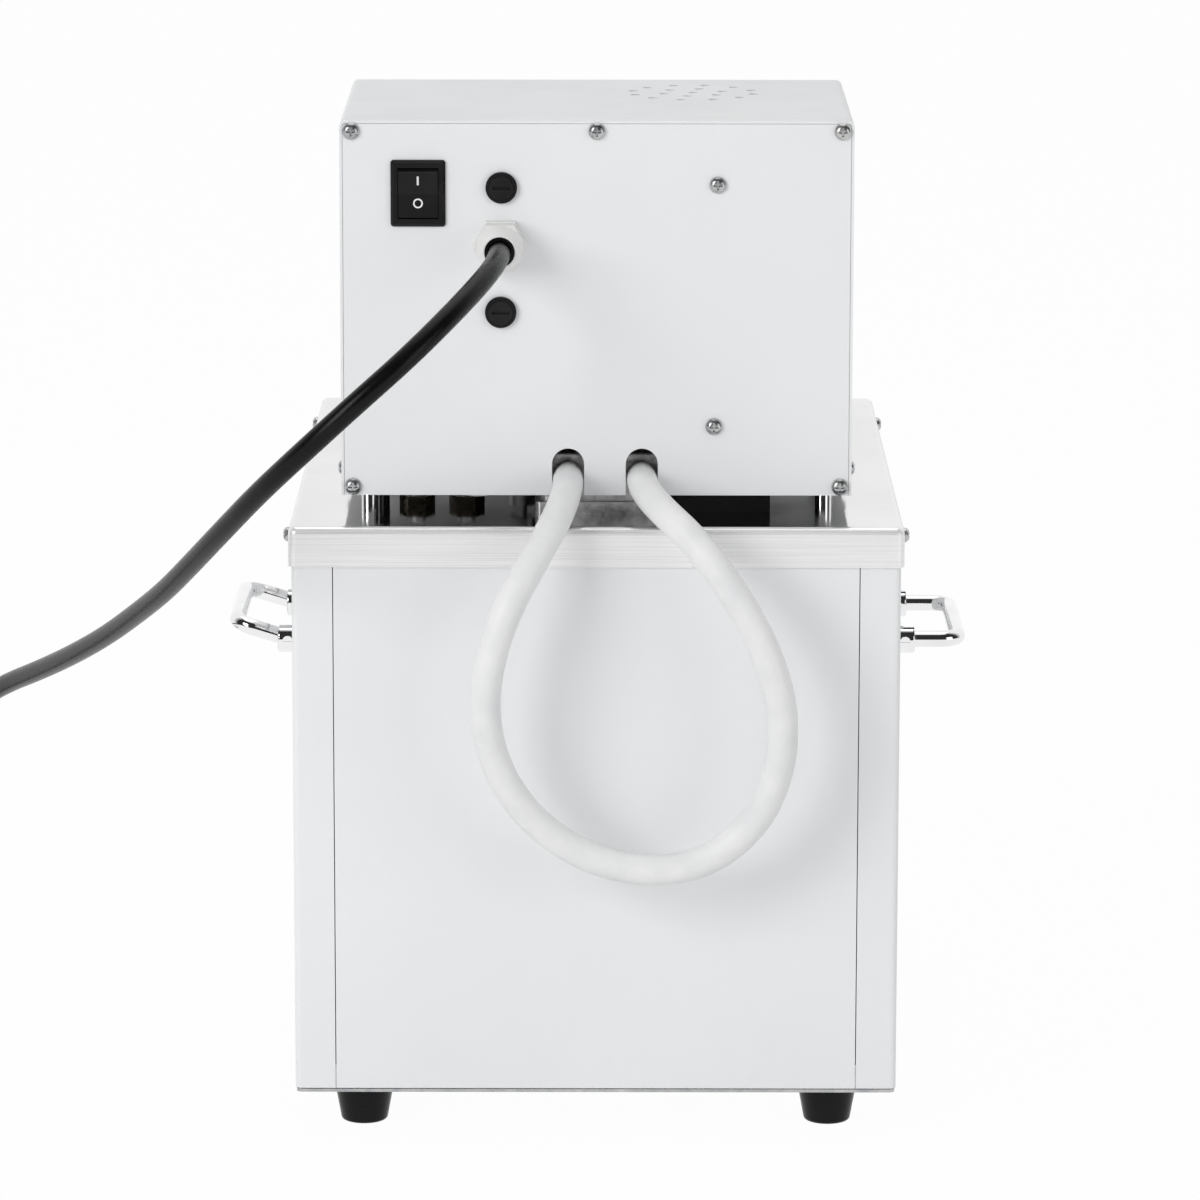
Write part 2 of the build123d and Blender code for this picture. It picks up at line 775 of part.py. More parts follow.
def make_cover_screws():
    screws = []
    for x, side in ((-head_width / 2, "left"), (head_width / 2, "right")):
        for y in (cover_screw_back_y, cover_screw_front_y):
            screws.append(facing(x, y, cover_screw_z, side) * pan_screw(side_screw_head, screw_shank_length - 2))
    return screws


# Pump

def motor_bolt_places():
    radius = motor_bolt_circle / 2
    return [(pump_x + radius * cos(radians(angle)), pump_y + radius * sin(radians(angle)))
            for angle in (45, 135, 225, 315)]


def make_motor():
    """A finned can between two end bells, with a bore for the running shaft."""
    radius = motor_diameter / 2
    motor = upright(pump_x, pump_y, (motor_bottom, motor_bottom + motor_flange_height), motor_flange_diameter)
    motor += upright(pump_x, pump_y, (motor_bottom, motor_top - 6), motor_diameter)
    motor += upright(pump_x, pump_y, (motor_bottom, motor_top), motor_diameter - 10)
    for level in range(5):
        low = motor_bottom + 22 + 12 * level
        groove = upright(pump_x, pump_y, (low, low + 4), motor_diameter + 2)
        motor -= groove - upright(pump_x, pump_y, (low, low + 4), motor_diameter - 6)
    motor -= upright(pump_x, pump_y, (motor_bottom - 1, motor_top + 1), shaft_diameter + 2 * shaft_play)
    for x, y in motor_bolt_places():
        motor -= upright(x, y, (motor_bottom - 1, motor_bottom + motor_flange_height + 1),
                         screw_shank_diameter + 2 * screw_hole_play)
    return motor


def make_motor_screws():
    top = motor_bottom + motor_flange_height
    screw = pan_screw(panel_screw_head, motor_flange_height + head_sheet)
    return [Pos(x, y, top) * screw for x, y in motor_bolt_places()]


def make_motor_base():
    """A black insulating block that keeps the hot deck from the head."""
    base = block((motor_base_left_x, motor_base_right_x), (motor_base_back_y, motor_base_front_y),
                 (deck_top, head_bottom))
    base -= upright(pump_x, pump_y, (deck_top - 1, head_bottom + 1), motor_base_bore)
    gap = 0.5
    return base - block((block_left_x - gap, block_right_x + gap), (block_back_y - gap, block_front_y + gap),
                        (deck_top - 1, head_bottom + 1))


def make_shaft():
    return upright(pump_x, pump_y, (housing_bottom + 8, shaft_top), shaft_diameter)


def make_fan():
    """A hub with flat blades set across it."""
    radius = fan_diameter / 2
    hub = upright(0, 0, (fan_bottom, fan_bottom + fan_height), 18)
    blade = block((0, radius), (-0.8, 0.8), (fan_bottom + 1, fan_bottom + fan_height - 1))
    fan = hub + upright(0, 0, (fan_bottom, fan_bottom + 1.5), fan_diameter)
    for step in range(fan_blades):
        fan += Rot(0, 0, 360 * step / fan_blades) * blade
    fan -= upright(0, 0, (fan_bottom - 1, fan_bottom + fan_height + 1), shaft_diameter)
    return Pos(pump_x, pump_y, 0) * fan


def make_impeller():
    """A backplate with vanes that lean back from the hub."""
    low = housing_bottom + 7
    disc = upright(0, 0, (low + impeller_height - 2, low + impeller_height), impeller_diameter)
    disc += upright(0, 0, (low, low + impeller_height), 14)
    vane = Pos(impeller_diameter / 4, 0, low + impeller_height / 2) * Rot(0, 0, 28) * Box(
        impeller_diameter / 2.6, 1.6, impeller_height)
    for step in range(impeller_blades):
        disc += Rot(0, 0, 360 * step / impeller_blades) * vane
    disc -= upright(0, 0, (low - 1, low + impeller_height + 1), shaft_diameter)
    return Pos(pump_x, pump_y, 0) * disc


def make_column():
    """A flanged tube that hangs the pump housing from the deck."""
    column = upright(pump_x, pump_y, (housing_top, deck_top + column_flange_height), column_outer)
    column += upright(pump_x, pump_y, (deck_top, deck_top + column_flange_height), column_flange_diameter)
    return column - upright(pump_x, pump_y, (housing_top - 1, head_bottom), column_inner)


def make_pump_housing():
    """A round volute, open below at its eye, whose outlet leaves along the wall towards the ports."""
    housing = upright(pump_x, pump_y, (housing_bottom, housing_top), housing_diameter)
    outlet_z = (housing_bottom + housing_top) / 2
    outlet_end = pump_y - housing_diameter / 2 - 6
    housing += along_y(port_out_x, (outlet_end, pump_y), outlet_z, pipe_diameter + 4)
    housing -= upright(pump_x, pump_y, (housing_bottom + housing_wall, housing_top - housing_wall),
                       housing_diameter - 2 * housing_wall)
    housing -= upright(pump_x, pump_y, (housing_bottom - 1, housing_bottom + housing_wall + 1),
                       housing_inlet_diameter)
    housing -= upright(pump_x, pump_y, (housing_top - housing_wall - 1, housing_top + 1), shaft_diameter + 2)
    mouth = (outlet_end - 1, outlet_end + 8)
    housing -= along_y(port_out_x, mouth, outlet_z, pipe_diameter + 2 * pipe_play)
    return housing - along_y(port_out_x, (outlet_end, pump_y), outlet_z, pipe_bore - 2)


# Ports, pipes and heater

def make_port_block():
    """A cast block with a stepped foot, two bores from below and two screws."""
    top = deck_top + block_height
    width = block_right_x - block_left_x
    middle_x = (block_left_x + block_right_x) / 2
    middle_y = (block_back_y + block_front_y) / 2
    depth = block_front_y - block_back_y
    body = rounded_block(width, depth, (deck_top, deck_top + block_foot), 3, middle_x, middle_y)
    upper = rounded_block(width - 2 * block_step, depth - block_step, (deck_top + block_foot, top), 4, middle_x,
                          middle_y + block_step / 2)
    upper = fillet(upper.faces().sort_by(Axis.Z)[-1].edges(), 2)
    body += upper
    for x in (port_in_x, port_out_x):
        body -= upright(x, pipe_y, (deck_top - 1, port_z - 5), pipe_diameter + 2 * pipe_play)
        body -= along_y(x, (block_back_y - 1, pipe_y), port_z, spigot_diameter + 2 * pipe_play)
        body -= upright(x, pipe_y, (port_z - 6, port_z), spigot_bore)
    return body


def make_spigots():
    """Two barbed nozzles that the hose is pushed on to."""
    face = block_back_y + block_step
    spigots = []
    for x in (port_in_x, port_out_x):
        spigot = along_y(x, (face - spigot_length, face + 6), port_z, spigot_diameter)
        for barb in range(3):
            low = face - spigot_length + 0.8 + 5 * barb
            cone = Pos(x, low + 1.5, port_z) * Rot(-90, 0, 0) * Cone(spigot_diameter / 2, spigot_barb / 2, 3)
            spigot += cone
        spigots.append(spigot - along_y(x, (face - spigot_length - 1, face + 7), port_z, spigot_bore))
    return spigots


def bent_pipe(points, diameter, bore, bend):
    path = FilletPolyline(*points, radius=bend)
    section = Circle(diameter / 2)
    if bore:
        section = section - Circle(bore / 2)
    return sweep(Plane(origin=path @ 0, z_dir=path % 0) * section, path=path)


def make_delivery_pipe():
    outlet_z = (housing_bottom + housing_top) / 2
    start = (port_out_x, pump_y - housing_diameter / 2, outlet_z)
    corner = (port_out_x, pipe_y, outlet_z)
    end = (port_out_x, pipe_y, port_z - 6)
    return bent_pipe([start, corner, end], pipe_diameter, pipe_bore, pipe_bend)


def make_return_pipe():
    pipe = upright(port_in_x, pipe_y, (tank_floor + 55, port_z - 6), pipe_diameter)
    return pipe - upright(port_in_x, pipe_y, (tank_floor + 54, port_z - 5), pipe_bore)


def make_heater():
    """A tubular heater bent once round the tank's floor, with both ends brought up through the deck."""
    top = deck_top + bushing_height + 3
    points = [(heater_left_x, heater_back_y, top), (heater_left_x, heater_back_y, heater_z),
              (heater_left_x, heater_front_y, heater_z), (heater_right_x, heater_front_y, heater_z),
              (heater_right_x, heater_middle_y, heater_z), (heater_inner_x, heater_middle_y, heater_z),
              (heater_inner_x, heater_back_y, heater_z), (heater_inner_x, heater_back_y, top)]
    radii = [heater_bend] * 4 + [heater_bend - 5, heater_bend]
    path = FilletPolyline(*points, radius=radii)
    return sweep(Plane(origin=path @ 0, z_dir=path % 0) * Circle(heater_diameter / 2), path=path)


def make_heater_bushings():
    bushings = []
    for x in (heater_left_x, heater_inner_x):
        ring = extrude(Pos(x, heater_back_y, deck_top) * RegularPolygon(bushing_diameter / 2, 6), bushing_height)
        bushings.append(ring - upright(x, heater_back_y, (deck_top - 1, deck_top + bushing_height + 1),
                                       heater_diameter + 2 * pipe_play))
    return bushings


def make_probe():
    """A closed tube with a collar that sits on the deck."""
    probe = upright(probe_x, probe_y, (deck_top - probe_length, head_bottom + 12), probe_diameter)
    return probe + upright(probe_x, probe_y, (deck_top, deck_top + 5), probe_diameter + 8)


def make_lead_sleeve():
    return upright(lead_x, lead_y, (deck_top, base_top + 10), lead_diameter)


def make_cable_bushing():
    bushing = upright(cable_bushing_x, cable_bushing_y, (head_bottom - 1.3, base_top + 4), cable_bushing_diameter)
    bushing += upright(cable_bushing_x, cable_bushing_y, (base_top, base_top + 2), cable_bushing_diameter + 3)
    return bushing - upright(cable_bushing_x, cable_bushing_y, (head_bottom - 3, base_top + 5),
                             cable_bushing_diameter - 4)


# Main switch

def make_switch_housing():
    """The bezel and the body behind it, with the cavity that the rocker tips in."""
    bezel_back = head_back_y
    bezel_front = bezel_back - bezel_proud
    body_back = bezel_back + switch_body_depth
    housing = rounded_panel(bezel_width, bezel_height, (bezel_front, bezel_back), 1.5, switch_x, switch_z)
    housing = chamfer(housing.faces().sort_by(Axis.Y)[0].edges(), bezel_edge)
    housing += block((switch_x - switch_body_width / 2, switch_x + switch_body_width / 2), (bezel_back, body_back),
                     (switch_z - switch_body_height / 2, switch_z + switch_body_height / 2))
    housing -= block((switch_x - switch_opening_width / 2, switch_x + switch_opening_width / 2),
                     (bezel_front - 1, bezel_front + switch_cavity_depth),
                     (switch_z - switch_opening_height / 2, switch_z + switch_opening_height / 2))
    reach = switch_opening_width / 2 + 1.2
    return housing - along_x((switch_x - reach, switch_x + reach), rocker_pivot_y, switch_z,
                             rocker_pin_diameter + 2 * shaft_play)


def make_rocker():
    """A rocker with a shallow V face and round ends, turned to its rest position about the pins."""
    end = sqrt(rocker_reach ** 2 - rocker_end_front ** 2)
    back = 3.0
    back_end = sqrt(rocker_reach ** 2 - back ** 2)
    with BuildSketch(Plane.YZ) as profile:
        with BuildLine():
            Polyline((-rocker_end_front, end), (-rocker_middle_front, 0), (-rocker_end_front, -end))
            ThreePointArc((-rocker_end_front, -end), (0, -rocker_reach), (back, -back_end))
            Polyline((back, -back_end), (6, -4), (6, 4), (back, back_end))
            ThreePointArc((back, back_end), (0, rocker_reach), (-rocker_end_front, end))
        make_face()
    body = extrude(profile.sketch, rocker_width / 2, both=True)
    pin_reach = switch_opening_width / 2 + 0.8
    body += along_x((-pin_reach, pin_reach), 0, 0, rocker_pin_diameter)
    return Pos(switch_x, rocker_pivot_y, switch_z) * Rot(rocker_rest_angle, 0, 0) * body


def make_switch_terminals():
    back = head_back_y + switch_body_depth
    terminals = []
    for x in (-5.5, 5.5):
        for z in (-7.5, 7.5):
            terminals.append(block((switch_x + x - terminal_sheet / 2, switch_x + x + terminal_sheet / 2),
                                   (back, back + terminal_length),
                                   (switch_z + z - terminal_width / 2, switch_z + z + terminal_width / 2)))
    return terminals


# Fuse holders

def fuse_places():
    return [(fuse_upper_x, fuse_upper_z), (fuse_lower_x, fuse_lower_z)]


def make_fuse_holder(x, z):
    face = head_back_y - fuse_flange_height
    holder = along_y(x, (face, head_back_y), z, fuse_flange_diameter)
    holder = chamfer(holder.faces().sort_by(Axis.Y)[0].edges(), 0.5)
    holder += along_y(x, (head_back_y, head_back_y + fuse_body_length), z, fuse_body_diameter)
    recess = fuse_cap_diameter + 2 * fuse_cap_play
    holder -= along_y(x, (face - 1, face + fuse_cap_depth), z, recess)
    holder -= along_y(x, (face, face + fuse_cap_depth + fuse_stem_length + 0.3), z,
                      fuse_stem_diameter + 2 * fuse_cap_play)
    chamber_end = face + fuse_cap_depth + fuse_stem_length + 0.3 + fuse_length + 0.6
    return holder - along_y(x, (face, chamber_end), z, fuse_chamber_diameter)


def make_fuse_cap(x, z):
    """A quarter-turn cap with a screwdriver slot."""
    face = head_back_y - fuse_flange_height
    cap = along_y(x, (face - fuse_cap_proud, face + fuse_cap_depth), z, fuse_cap_diameter)
    cap = chamfer(cap.faces().sort_by(Axis.Y)[0].edges(), 0.4)
    cap += along_y(x, (face + fuse_cap_depth, face + fuse_cap_depth + fuse_stem_length), z, fuse_stem_diameter)
    slot = fuse_cap_diameter * 0.36
    return cap - block((x - slot, x + slot), (face - fuse_cap_proud - 1, face - fuse_cap_proud + fuse_slot_depth),
                       (z - fuse_slot_width / 2, z + fuse_slot_width / 2))


def make_fuse(x, z):
    start = head_back_y - fuse_flange_height + fuse_cap_depth + fuse_stem_length + 0.6
    fuse = along_y(x, (start, start + fuse_length), z, fuse_diameter - 0.4)
    for low in (start, start + fuse_length - 5):
        fuse += along_y(x, (low, low + 5), z, fuse_diameter)
    return fuse


def make_fuse_nut(x, z):
    nut = hexagon(fuse_nut_width, (back_rim_y, back_rim_y + fuse_nut_height), x, z)
    return nut - along_y(x, (back_rim_y - 1, back_rim_y + fuse_nut_height + 1), z,
                         fuse_body_diameter + 2 * screw_hole_play)


# Gland, lead and plug

def gland_bore():
    return along_y(gland_x, (gland_end_y - 1, head_back_y + 40), gland_z, cord_diameter + 2 * lead_clearance)


def make_gland_body():
    body = hexagon(gland_hex, (head_back_y - gland_hex_height, head_back_y), gland_x, gland_z)
    body += along_y(gland_x, (head_back_y, head_back_y + gland_thread_length), gland_z, gland_thread)
    return body - gland_bore()


def make_gland_nut():
    """The clamping nut: a hexagon that runs out into a ribbed dome."""
    hex_back = head_back_y - gland_hex_height
    hex_front = hex_back - gland_nut_height
    nut = hexagon(gland_nut_hex, (hex_front, hex_back), gland_x, gland_z)
    dome = hex_front - gland_end_y
    cone = Cone(gland_nut_hex / 2, gland_end_diameter / 2, dome)
    nut += Pos(gland_x, hex_front - dome / 2, gland_z) * Rot(90, 0, 0) * cone
    return nut - along_y(gland_x, (gland_end_y - 1, hex_back + 1), gland_z, cord_diameter + 4)


def make_gland_seal():
    """The rubber sleeve that the nut squeezes on to the lead."""
    hex_back = head_back_y - gland_hex_height
    seal = along_y(gland_x, (gland_end_y, hex_back), gland_z, cord_diameter + 4)
    return seal - gland_bore()


def make_gland_locknut():
    y = (back_rim_y, back_rim_y + locknut_height)
    nut = hexagon(locknut_hex, y, gland_x, gland_z)
    return nut - along_y(gland_x, (y[0] - 1, y[1] + 1), gland_z, gland_thread + 2 * screw_hole_play)


cord_route = [
    (gland_x, -186, gland_z), (gland_x, -208, gland_z), (-48, -243, 423.5), (-59, -271, 412), (-79, -289, 394),
    (-104, -295, 373), (-129, -287, 350), (-151, -266, 328), (-170, -233, 305), (-188, -194, 282),
    (-205, -152, 260), (-222, -108, 240), (-240, -63, 220), (-260, -17, 201), (-281, 30, 183), (-303, 76, 166),
    (-318, 102, 153), (-330, 122, 134), (-342, 138, 111), (-353, 150, 86), (-367, 162, 62), (-386, 174, 42),
    (-409, 182, 28), (-434, 187, 18.5), (-463, 187, 12),
]

hose_route = [
    (port_in_x, -152, port_z), (port_in_x, -164, port_z), (-14.1, -182, 312.4), (-18.6, -199.2, 303.4),
    (-28.5, -212.5, 288), (-41, -220.5, 266.5), (-50, -223, 241), (-52.5, -222, 215), (-46.5, -220, 188),
    (-30, -218, 163), (-4, -217, 145), (27, -217, 138), (56, -218, 145), (77.5, -220, 166), (87, -223, 193),
    (87, -225, 220), (80, -225, 244), (69.5, -222.5, 264.5), (57.5, -217, 282), (44.5, -209, 297),
    (31.6, -197.5, 306.9), (23.6, -181.5, 313), (port_out_x, -163, port_z), (port_out_x, -152, port_z),
]


def coil_turns(length):
    """How many turns of the coil take up a length, as each turn is one pitch larger than the last."""
    growth = coil_pitch / (2 * pi)
    angle = (sqrt(coil_inner_radius ** 2 + 2 * growth * length) - coil_inner_radius) / growth
    return angle / (2 * pi)


def coil_place(turn):
    """A point of the coil and its direction, counted in turns from where the route ends."""
    angle = pi / 2 + 2 * pi * turn
    radius = coil_inner_radius + coil_pitch * turn
    place = (coil_centre_x + radius * cos(angle), coil_centre_y + radius * sin(angle), cord_diameter / 2)
    return place, (-sin(angle), cos(angle), 0)


def make_coil(turns):
    """The closed outer shape of all the turns, laid flat on the bench."""
    inner = coil_inner_radius - cord_diameter / 2
    outer = coil_inner_radius + coil_pitch * turns + cord_diameter / 2
    section = Plane.XZ * (Pos((inner + outer) / 2, cord_diameter / 2) * RectangleRounded(
        outer - inner, cord_diameter, cord_diameter * 0.45))
    ring = revolve(section, Axis.Z)
    return Pos(coil_centre_x, coil_centre_y, 0) * ring


def make_plug_body():
    """A moulded body with a ribbed collar, in its own frame with Z towards the blades."""
    start = plug_collar_length
    collar = Pos(0, 0, start / 2) * Cone(cord_diameter / 2 + 1.6, cord_diameter / 2 + 3.4, start)
    for groove in range(3):
        low = 4 + 5.5 * groove
        collar -= upright(0, 0, (low, low + 2), 40) - upright(0, 0, (low, low + 2), cord_diameter + 2.6)
    neck = Plane(origin=(0, 0, start)) * RectangleRounded(cord_diameter + 8, cord_diameter + 8, 6)
    shoulder = Plane(origin=(0, 0, start + 12)) * RectangleRounded(plug_body_width, plug_body_height, 6)
    face = Plane(origin=(0, 0, start + plug_body_length)) * RectangleRounded(plug_body_width, plug_body_height, 6)
    return collar + loft([neck, shoulder]) + loft([shoulder, face])


def make_plug_pins():
    start = plug_collar_length + plug_body_length
    length = (start, start + plug_blade_length)
    pins = []
    for side in (-1, 1):
        x = side * plug_blade_spread / 2
        pins.append(block((x - plug_blade_sheet / 2, x + plug_blade_sheet / 2),
                          (-4 - plug_blade_width / 2, -4 + plug_blade_width / 2), length))
    pins.append(upright(0, 8, (start, start + plug_blade_length + 3), plug_earth_diameter))
    return pins


# Relay

def bracket_screw_places():
    return [(bracket_screw_upper_x, bracket_screw_upper_z), (bracket_screw_lower_x, bracket_screw_lower_z)]


def make_bracket_screws():
    return [facing(x, head_back_y, z, "back") * pan_screw(panel_screw_head, screw_shank_length)
            for x, z in bracket_screw_places()]


def relay_middle():
    x = (bracket_screw_upper_x + bracket_screw_lower_x) / 2
    z = (bracket_screw_upper_z + bracket_screw_lower_z) / 2
    return x, z


def make_relay_plate():
    x, z = relay_middle()
    rise = (bracket_screw_upper_z - bracket_screw_lower_z) / 2 + relay_plate_margin
    plate = block((x - relay_plate_width / 2, x + relay_plate_width / 2),
                  (back_rim_y, back_rim_y + relay_plate_sheet), (z - rise, z + rise))
    for hole_x, hole_z in bracket_screw_places():
        plate -= along_y(hole_x, (back_rim_y - 1, back_rim_y + relay_plate_sheet + 1), hole_z,
                         screw_shank_diameter + 2 * screw_hole_play)
    return plate


def make_relay():
    """A relay block with a stepped top that carries its terminals."""
    x, z = relay_middle()
    back = back_rim_y + relay_plate_sheet
    relay = block((x - relay_width / 2, x + relay_width / 2), (back, back + relay_depth),
                  (z - relay_height / 2, z + relay_height / 2))
    for side in (-1, 1):
        shelf = sorted((z + side * relay_height / 2, z + side * (relay_height / 2 - 14)))
        relay -= block((x - relay_width / 2 - 1, x + relay_width / 2 + 1), (back + relay_depth - 6, back + relay_depth + 1),
                       shelf)
        for step in (-1, 1):
            relay += along_y(x + step * relay_width / 4, (back + relay_depth - 6, back + relay_depth - 3),
                             z + side * (relay_height / 2 - 7), 8)
    return relay


# Controller

def key_places():
    first = -key_pitch * (key_count - 1) / 2
    return [first + key_pitch * step for step in range(key_count)]


def make_control_bezel():
    """A moulded bezel and box, with a window and one opening for each key."""
    face = head_front_y + control_proud
    bezel = rounded_panel(control_width, control_height, (head_front_y, face), control_edge, 0, control_z)
    bezel = fillet(bezel.faces().sort_by(Axis.Y)[-1].edges(), 1)
    box_back = head_front_y - control_box_depth
    inner_width = control_box_width - 2 * control_box_wall
    inner_height = control_box_height - 2 * control_box_wall
    bezel += rounded_panel(control_box_width, control_box_height, (box_back, head_front_y), 2, 0, control_z)
    bezel -= rounded_panel(inner_width, inner_height, (box_back - 1, head_front_y), 1, 0, control_z)
    glass = (face - window_glass, face + 1)
    bezel -= block((-window_width / 2, window_width / 2), glass,
                   (window_z - window_height / 2, window_z + window_height / 2))
    rim = 2.0
    bezel -= block((-window_width / 2 + rim, window_width / 2 - rim), (head_front_y - 1, face + 1),
                   (window_z - window_height / 2 + rim, window_z + window_height / 2 - rim))
    for x in key_places():
        bezel -= block((x - key_width / 2 - key_play, x + key_width / 2 + key_play), (head_front_y - 1, face + 1),
                       (key_z - key_height / 2 - key_play, key_z + key_height / 2 + key_play))
    return bezel


def make_display():
    face = head_front_y + control_proud
    play = 0.1
    return block((-window_width / 2 + play, window_width / 2 - play), (face - window_glass, face),
                 (window_z - window_height / 2 + play, window_z + window_height / 2 - play))


def make_control_board():
    width = control_box_width - 2 * control_box_wall - 0.6
    height = control_box_height - 2 * control_box_wall - 0.6
    board = block((-width / 2, width / 2), (board_y, board_front_y), (control_z - height / 2, control_z + height / 2))
    module = block((-window_width / 2 + 4, window_width / 2 - 4),
                   (board_front_y, head_front_y + control_proud - window_glass - 0.3),
                   (window_z - window_height / 2 + 4, window_z + window_height / 2 - 4))
    return board + module


def tact_top():
    return board_front_y + tact_height


def make_key_switches():
    switches = []
    for x in key_places():
        body = block((x - tact_width / 2, x + tact_width / 2), (board_front_y, tact_top() - 1),
                     (key_z - tact_width / 2, key_z + tact_width / 2))
        switches.append(body + along_y(x, (tact_top() - 1, tact_top()), key_z, 3.5))
    return switches


def make_key(x):
    """A key cap with a flange that keeps it behind the bezel and a stem over its switch."""
    face = head_front_y + control_proud + key_proud
    flange_front = head_front_y - 0.1
    key = rounded_panel(key_width, key_height, (flange_front - key_flange_sheet, face), 1, x, key_z)
    key = fillet(key.faces().sort_by(Axis.Y)[-1].edges(), 0.6)
    key += block((x - key_width / 2 - key_flange, x + key_width / 2 + key_flange),
                 (flange_front - key_flange_sheet, flange_front),
                 (key_z - key_height / 2 - key_flange, key_z + key_height / 2 + key_flange))
    stem_end = tact_top() + key_travel + 0.2
    return key + along_y(x, (stem_end, flange_front), key_z, 3)


# Handles

def make_boss(y):
    """A round boss in the right side's frame, slotted for the bail and bored for its pin."""
    with BuildSketch(Plane.XY) as disc:
        Circle(boss_diameter / 2)
    boss = extrude(disc.sketch, boss_length)
    boss = fillet(boss.edges().sort_by(Axis.Z)[-1], boss_edge)
    boss = Pos(case_side_x, y, boss_z) * Rot(0, 90, 0) * boss
    back = case_side_x + boss_length - slot_depth
    boss -= block((back, case_side_x + boss_length + 1), (y - slot_width / 2, y + slot_width / 2),
                  (boss_z - slot_floor, boss_z + boss_diameter))
    pin_x = case_side_x + pin_offset
    boss -= along_y(pin_x, (y - boss_diameter, y + boss_diameter), boss_z, pin_diameter)
    boss -= along_x((case_side_x - 1, case_side_x + 2.5), y, boss_z, boss_screw_diameter + 2 * screw_hole_play)
    return boss


def make_boss_screw(y):
    """A screw from inside the case into the boss."""
    screw = pan_screw(9.0, case_sheet + 2.3, boss_screw_diameter)
    return facing(case_inner_x, y, boss_z, "left") * screw


def make_pin(side, y):
    """A slotted pin through both cheeks of its boss."""
    pin_x = side * (case_side_x + pin_offset)
    cheek = sqrt((boss_diameter / 2) ** 2 - (pin_diameter / 2) ** 2)
    front = y - boss_diameter / 2 - pin_head_height
    pin = along_y(pin_x, (front, y + cheek), boss_z, pin_diameter)
    head = along_y(pin_x, (front, y - cheek), boss_z, pin_head_diameter)
    head -= along_x((pin_x - pin_head_diameter, pin_x + pin_head_diameter), y, boss_z, boss_diameter)
    slot = block((pin_x - pin_head_diameter, pin_x + pin_head_diameter), (front - 1, front + pin_head_height / 2),
                 (boss_z - 0.4, boss_z + 0.4))
    return pin + head - slot


def make_bail(tilt):
    """A bent rod with an eye at each end, turned up about its pins by the tilt."""
    pin_x = case_side_x + pin_offset
    radius = bail_diameter / 2
    half = boss_spread_y
    path = FilletPolyline((0, -half, 0), (bail_reach, -half, 0), (bail_reach, half, 0), (0, half, 0),
                          radius=bail_corner)
    rod = sweep(Plane(origin=path @ 0, z_dir=path % 0) * Circle(radius), path=path)
    for y in (-half, half):
        rod += Pos(0, y, 0) * Sphere(radius)
        rod -= along_y(0, (y - radius - 1, y + radius + 1), 0, pin_diameter + 2 * pin_play)
    return Pos(pin_x, 0, boss_z) * Rot(0, -tilt, 0) * rod


def on_left(piece):
    """The same piece turned to the other side of the object."""
    return Rot(0, 0, 180) * piece


def write_case():
    save("feet", *make_feet())
    save("bottom_tray", make_bottom_tray())
    save("case_shell", make_case_shell())
    save("rear_panel", make_rear_panel())
    save("deck", make_deck())
    save("tank", make_tank())
    save("insulation", make_insulation())
    save("lid", make_lid())
    save("lid_knob", make_lid_knob())


def write_head():
    save("head_posts", *make_posts())
    save("head_base", make_head_base())
    save("head_cover", make_head_cover())
    save("head_back_panel", make_back_panel())
    save("head_front_panel", make_front_panel())
    save("head_screws", *make_panel_screws(head_back_y, "back"), *make_panel_screws(head_front_y, "front"),
         *make_bracket_screws(), *make_motor_screws())
    save("side_screws", *make_deck_screws(), *make_cover_screws())
    save("relay_plate", make_relay_plate())
    save("solid_state_relay", make_relay())


def write_pump():
    save("pump_motor", make_motor())
    save("motor_base", make_motor_base())
    save("motor_shaft", make_shaft())
    save("cooling_fan", make_fan())
    save("pump_impeller", make_impeller())
    save("pump_housing", make_column() + make_pump_housing())
    save("port_block", make_port_block())
    save("hose_spigots", *make_spigots())
    save("port_pipes", make_delivery_pipe(), make_return_pipe())
    save("heater", make_heater())
    save("heater_bushings", *make_heater_bushings())
    save("temperature_probe", make_probe())
    save("lead_sleeve", make_lead_sleeve())
    save("cable_bushing", make_cable_bushing())


def write_electrics():
    save("switch_housing", make_switch_housing() + make_switch_terminals())
    save("switch_rocker", make_rocker())
    save("fuse_holders", *[make_fuse_holder(x, z) for x, z in fuse_places()])
    save("fuse_cap_upper", make_fuse_cap(fuse_upper_x, fuse_upper_z))
    save("fuse_cap_lower", make_fuse_cap(fuse_lower_x, fuse_lower_z))
    save("fuses", *[make_fuse(x, z) for x, z in fuse_places()])
    save("gland_body", make_gland_body())
    save("gland_nut", make_gland_nut())
    save("gland_seal", make_gland_seal())
    save("panel_nuts", make_gland_locknut(), *[make_fuse_nut(x, z) for x, z in fuse_places()])
    save("control_bezel", make_control_bezel())
    save("display", make_display())
    save("control_board", make_control_board() + union(make_key_switches()))
    for number, x in enumerate(key_places(), start=1):
        save(f"key_{number}", make_key(x))


def write_handles():
    right = [make_boss(y) for y in (-boss_spread_y, boss_spread_y)]
    right_screws = [make_boss_screw(y) for y in (-boss_spread_y, boss_spread_y)]
    save("handle_bosses", *right, *[on_left(boss) for boss in right])
    save("handle_pins", *[make_pin(side, y) for side in (-1, 1) for y in (-boss_spread_y, boss_spread_y)])
    save("case_screws", *make_foot_screws(), *right_screws, *[on_left(screw) for screw in right_screws])
    save("right_bail", make_bail(0))
    save("left_bail", on_left(make_bail(bail_left_tilt)))


def make_tail_points(place, direction):
    """The short end from the coil up to the plug, straight on from the last turn."""
    along = Vector(*direction)
    start = Vector(*place)
    rises = [(0, 0), (16, 0.3), (34, 4.5), (50, tail_rise)]
    return [tuple(start + along * run + Vector(0, 0, rise)) for run, rise in rises]


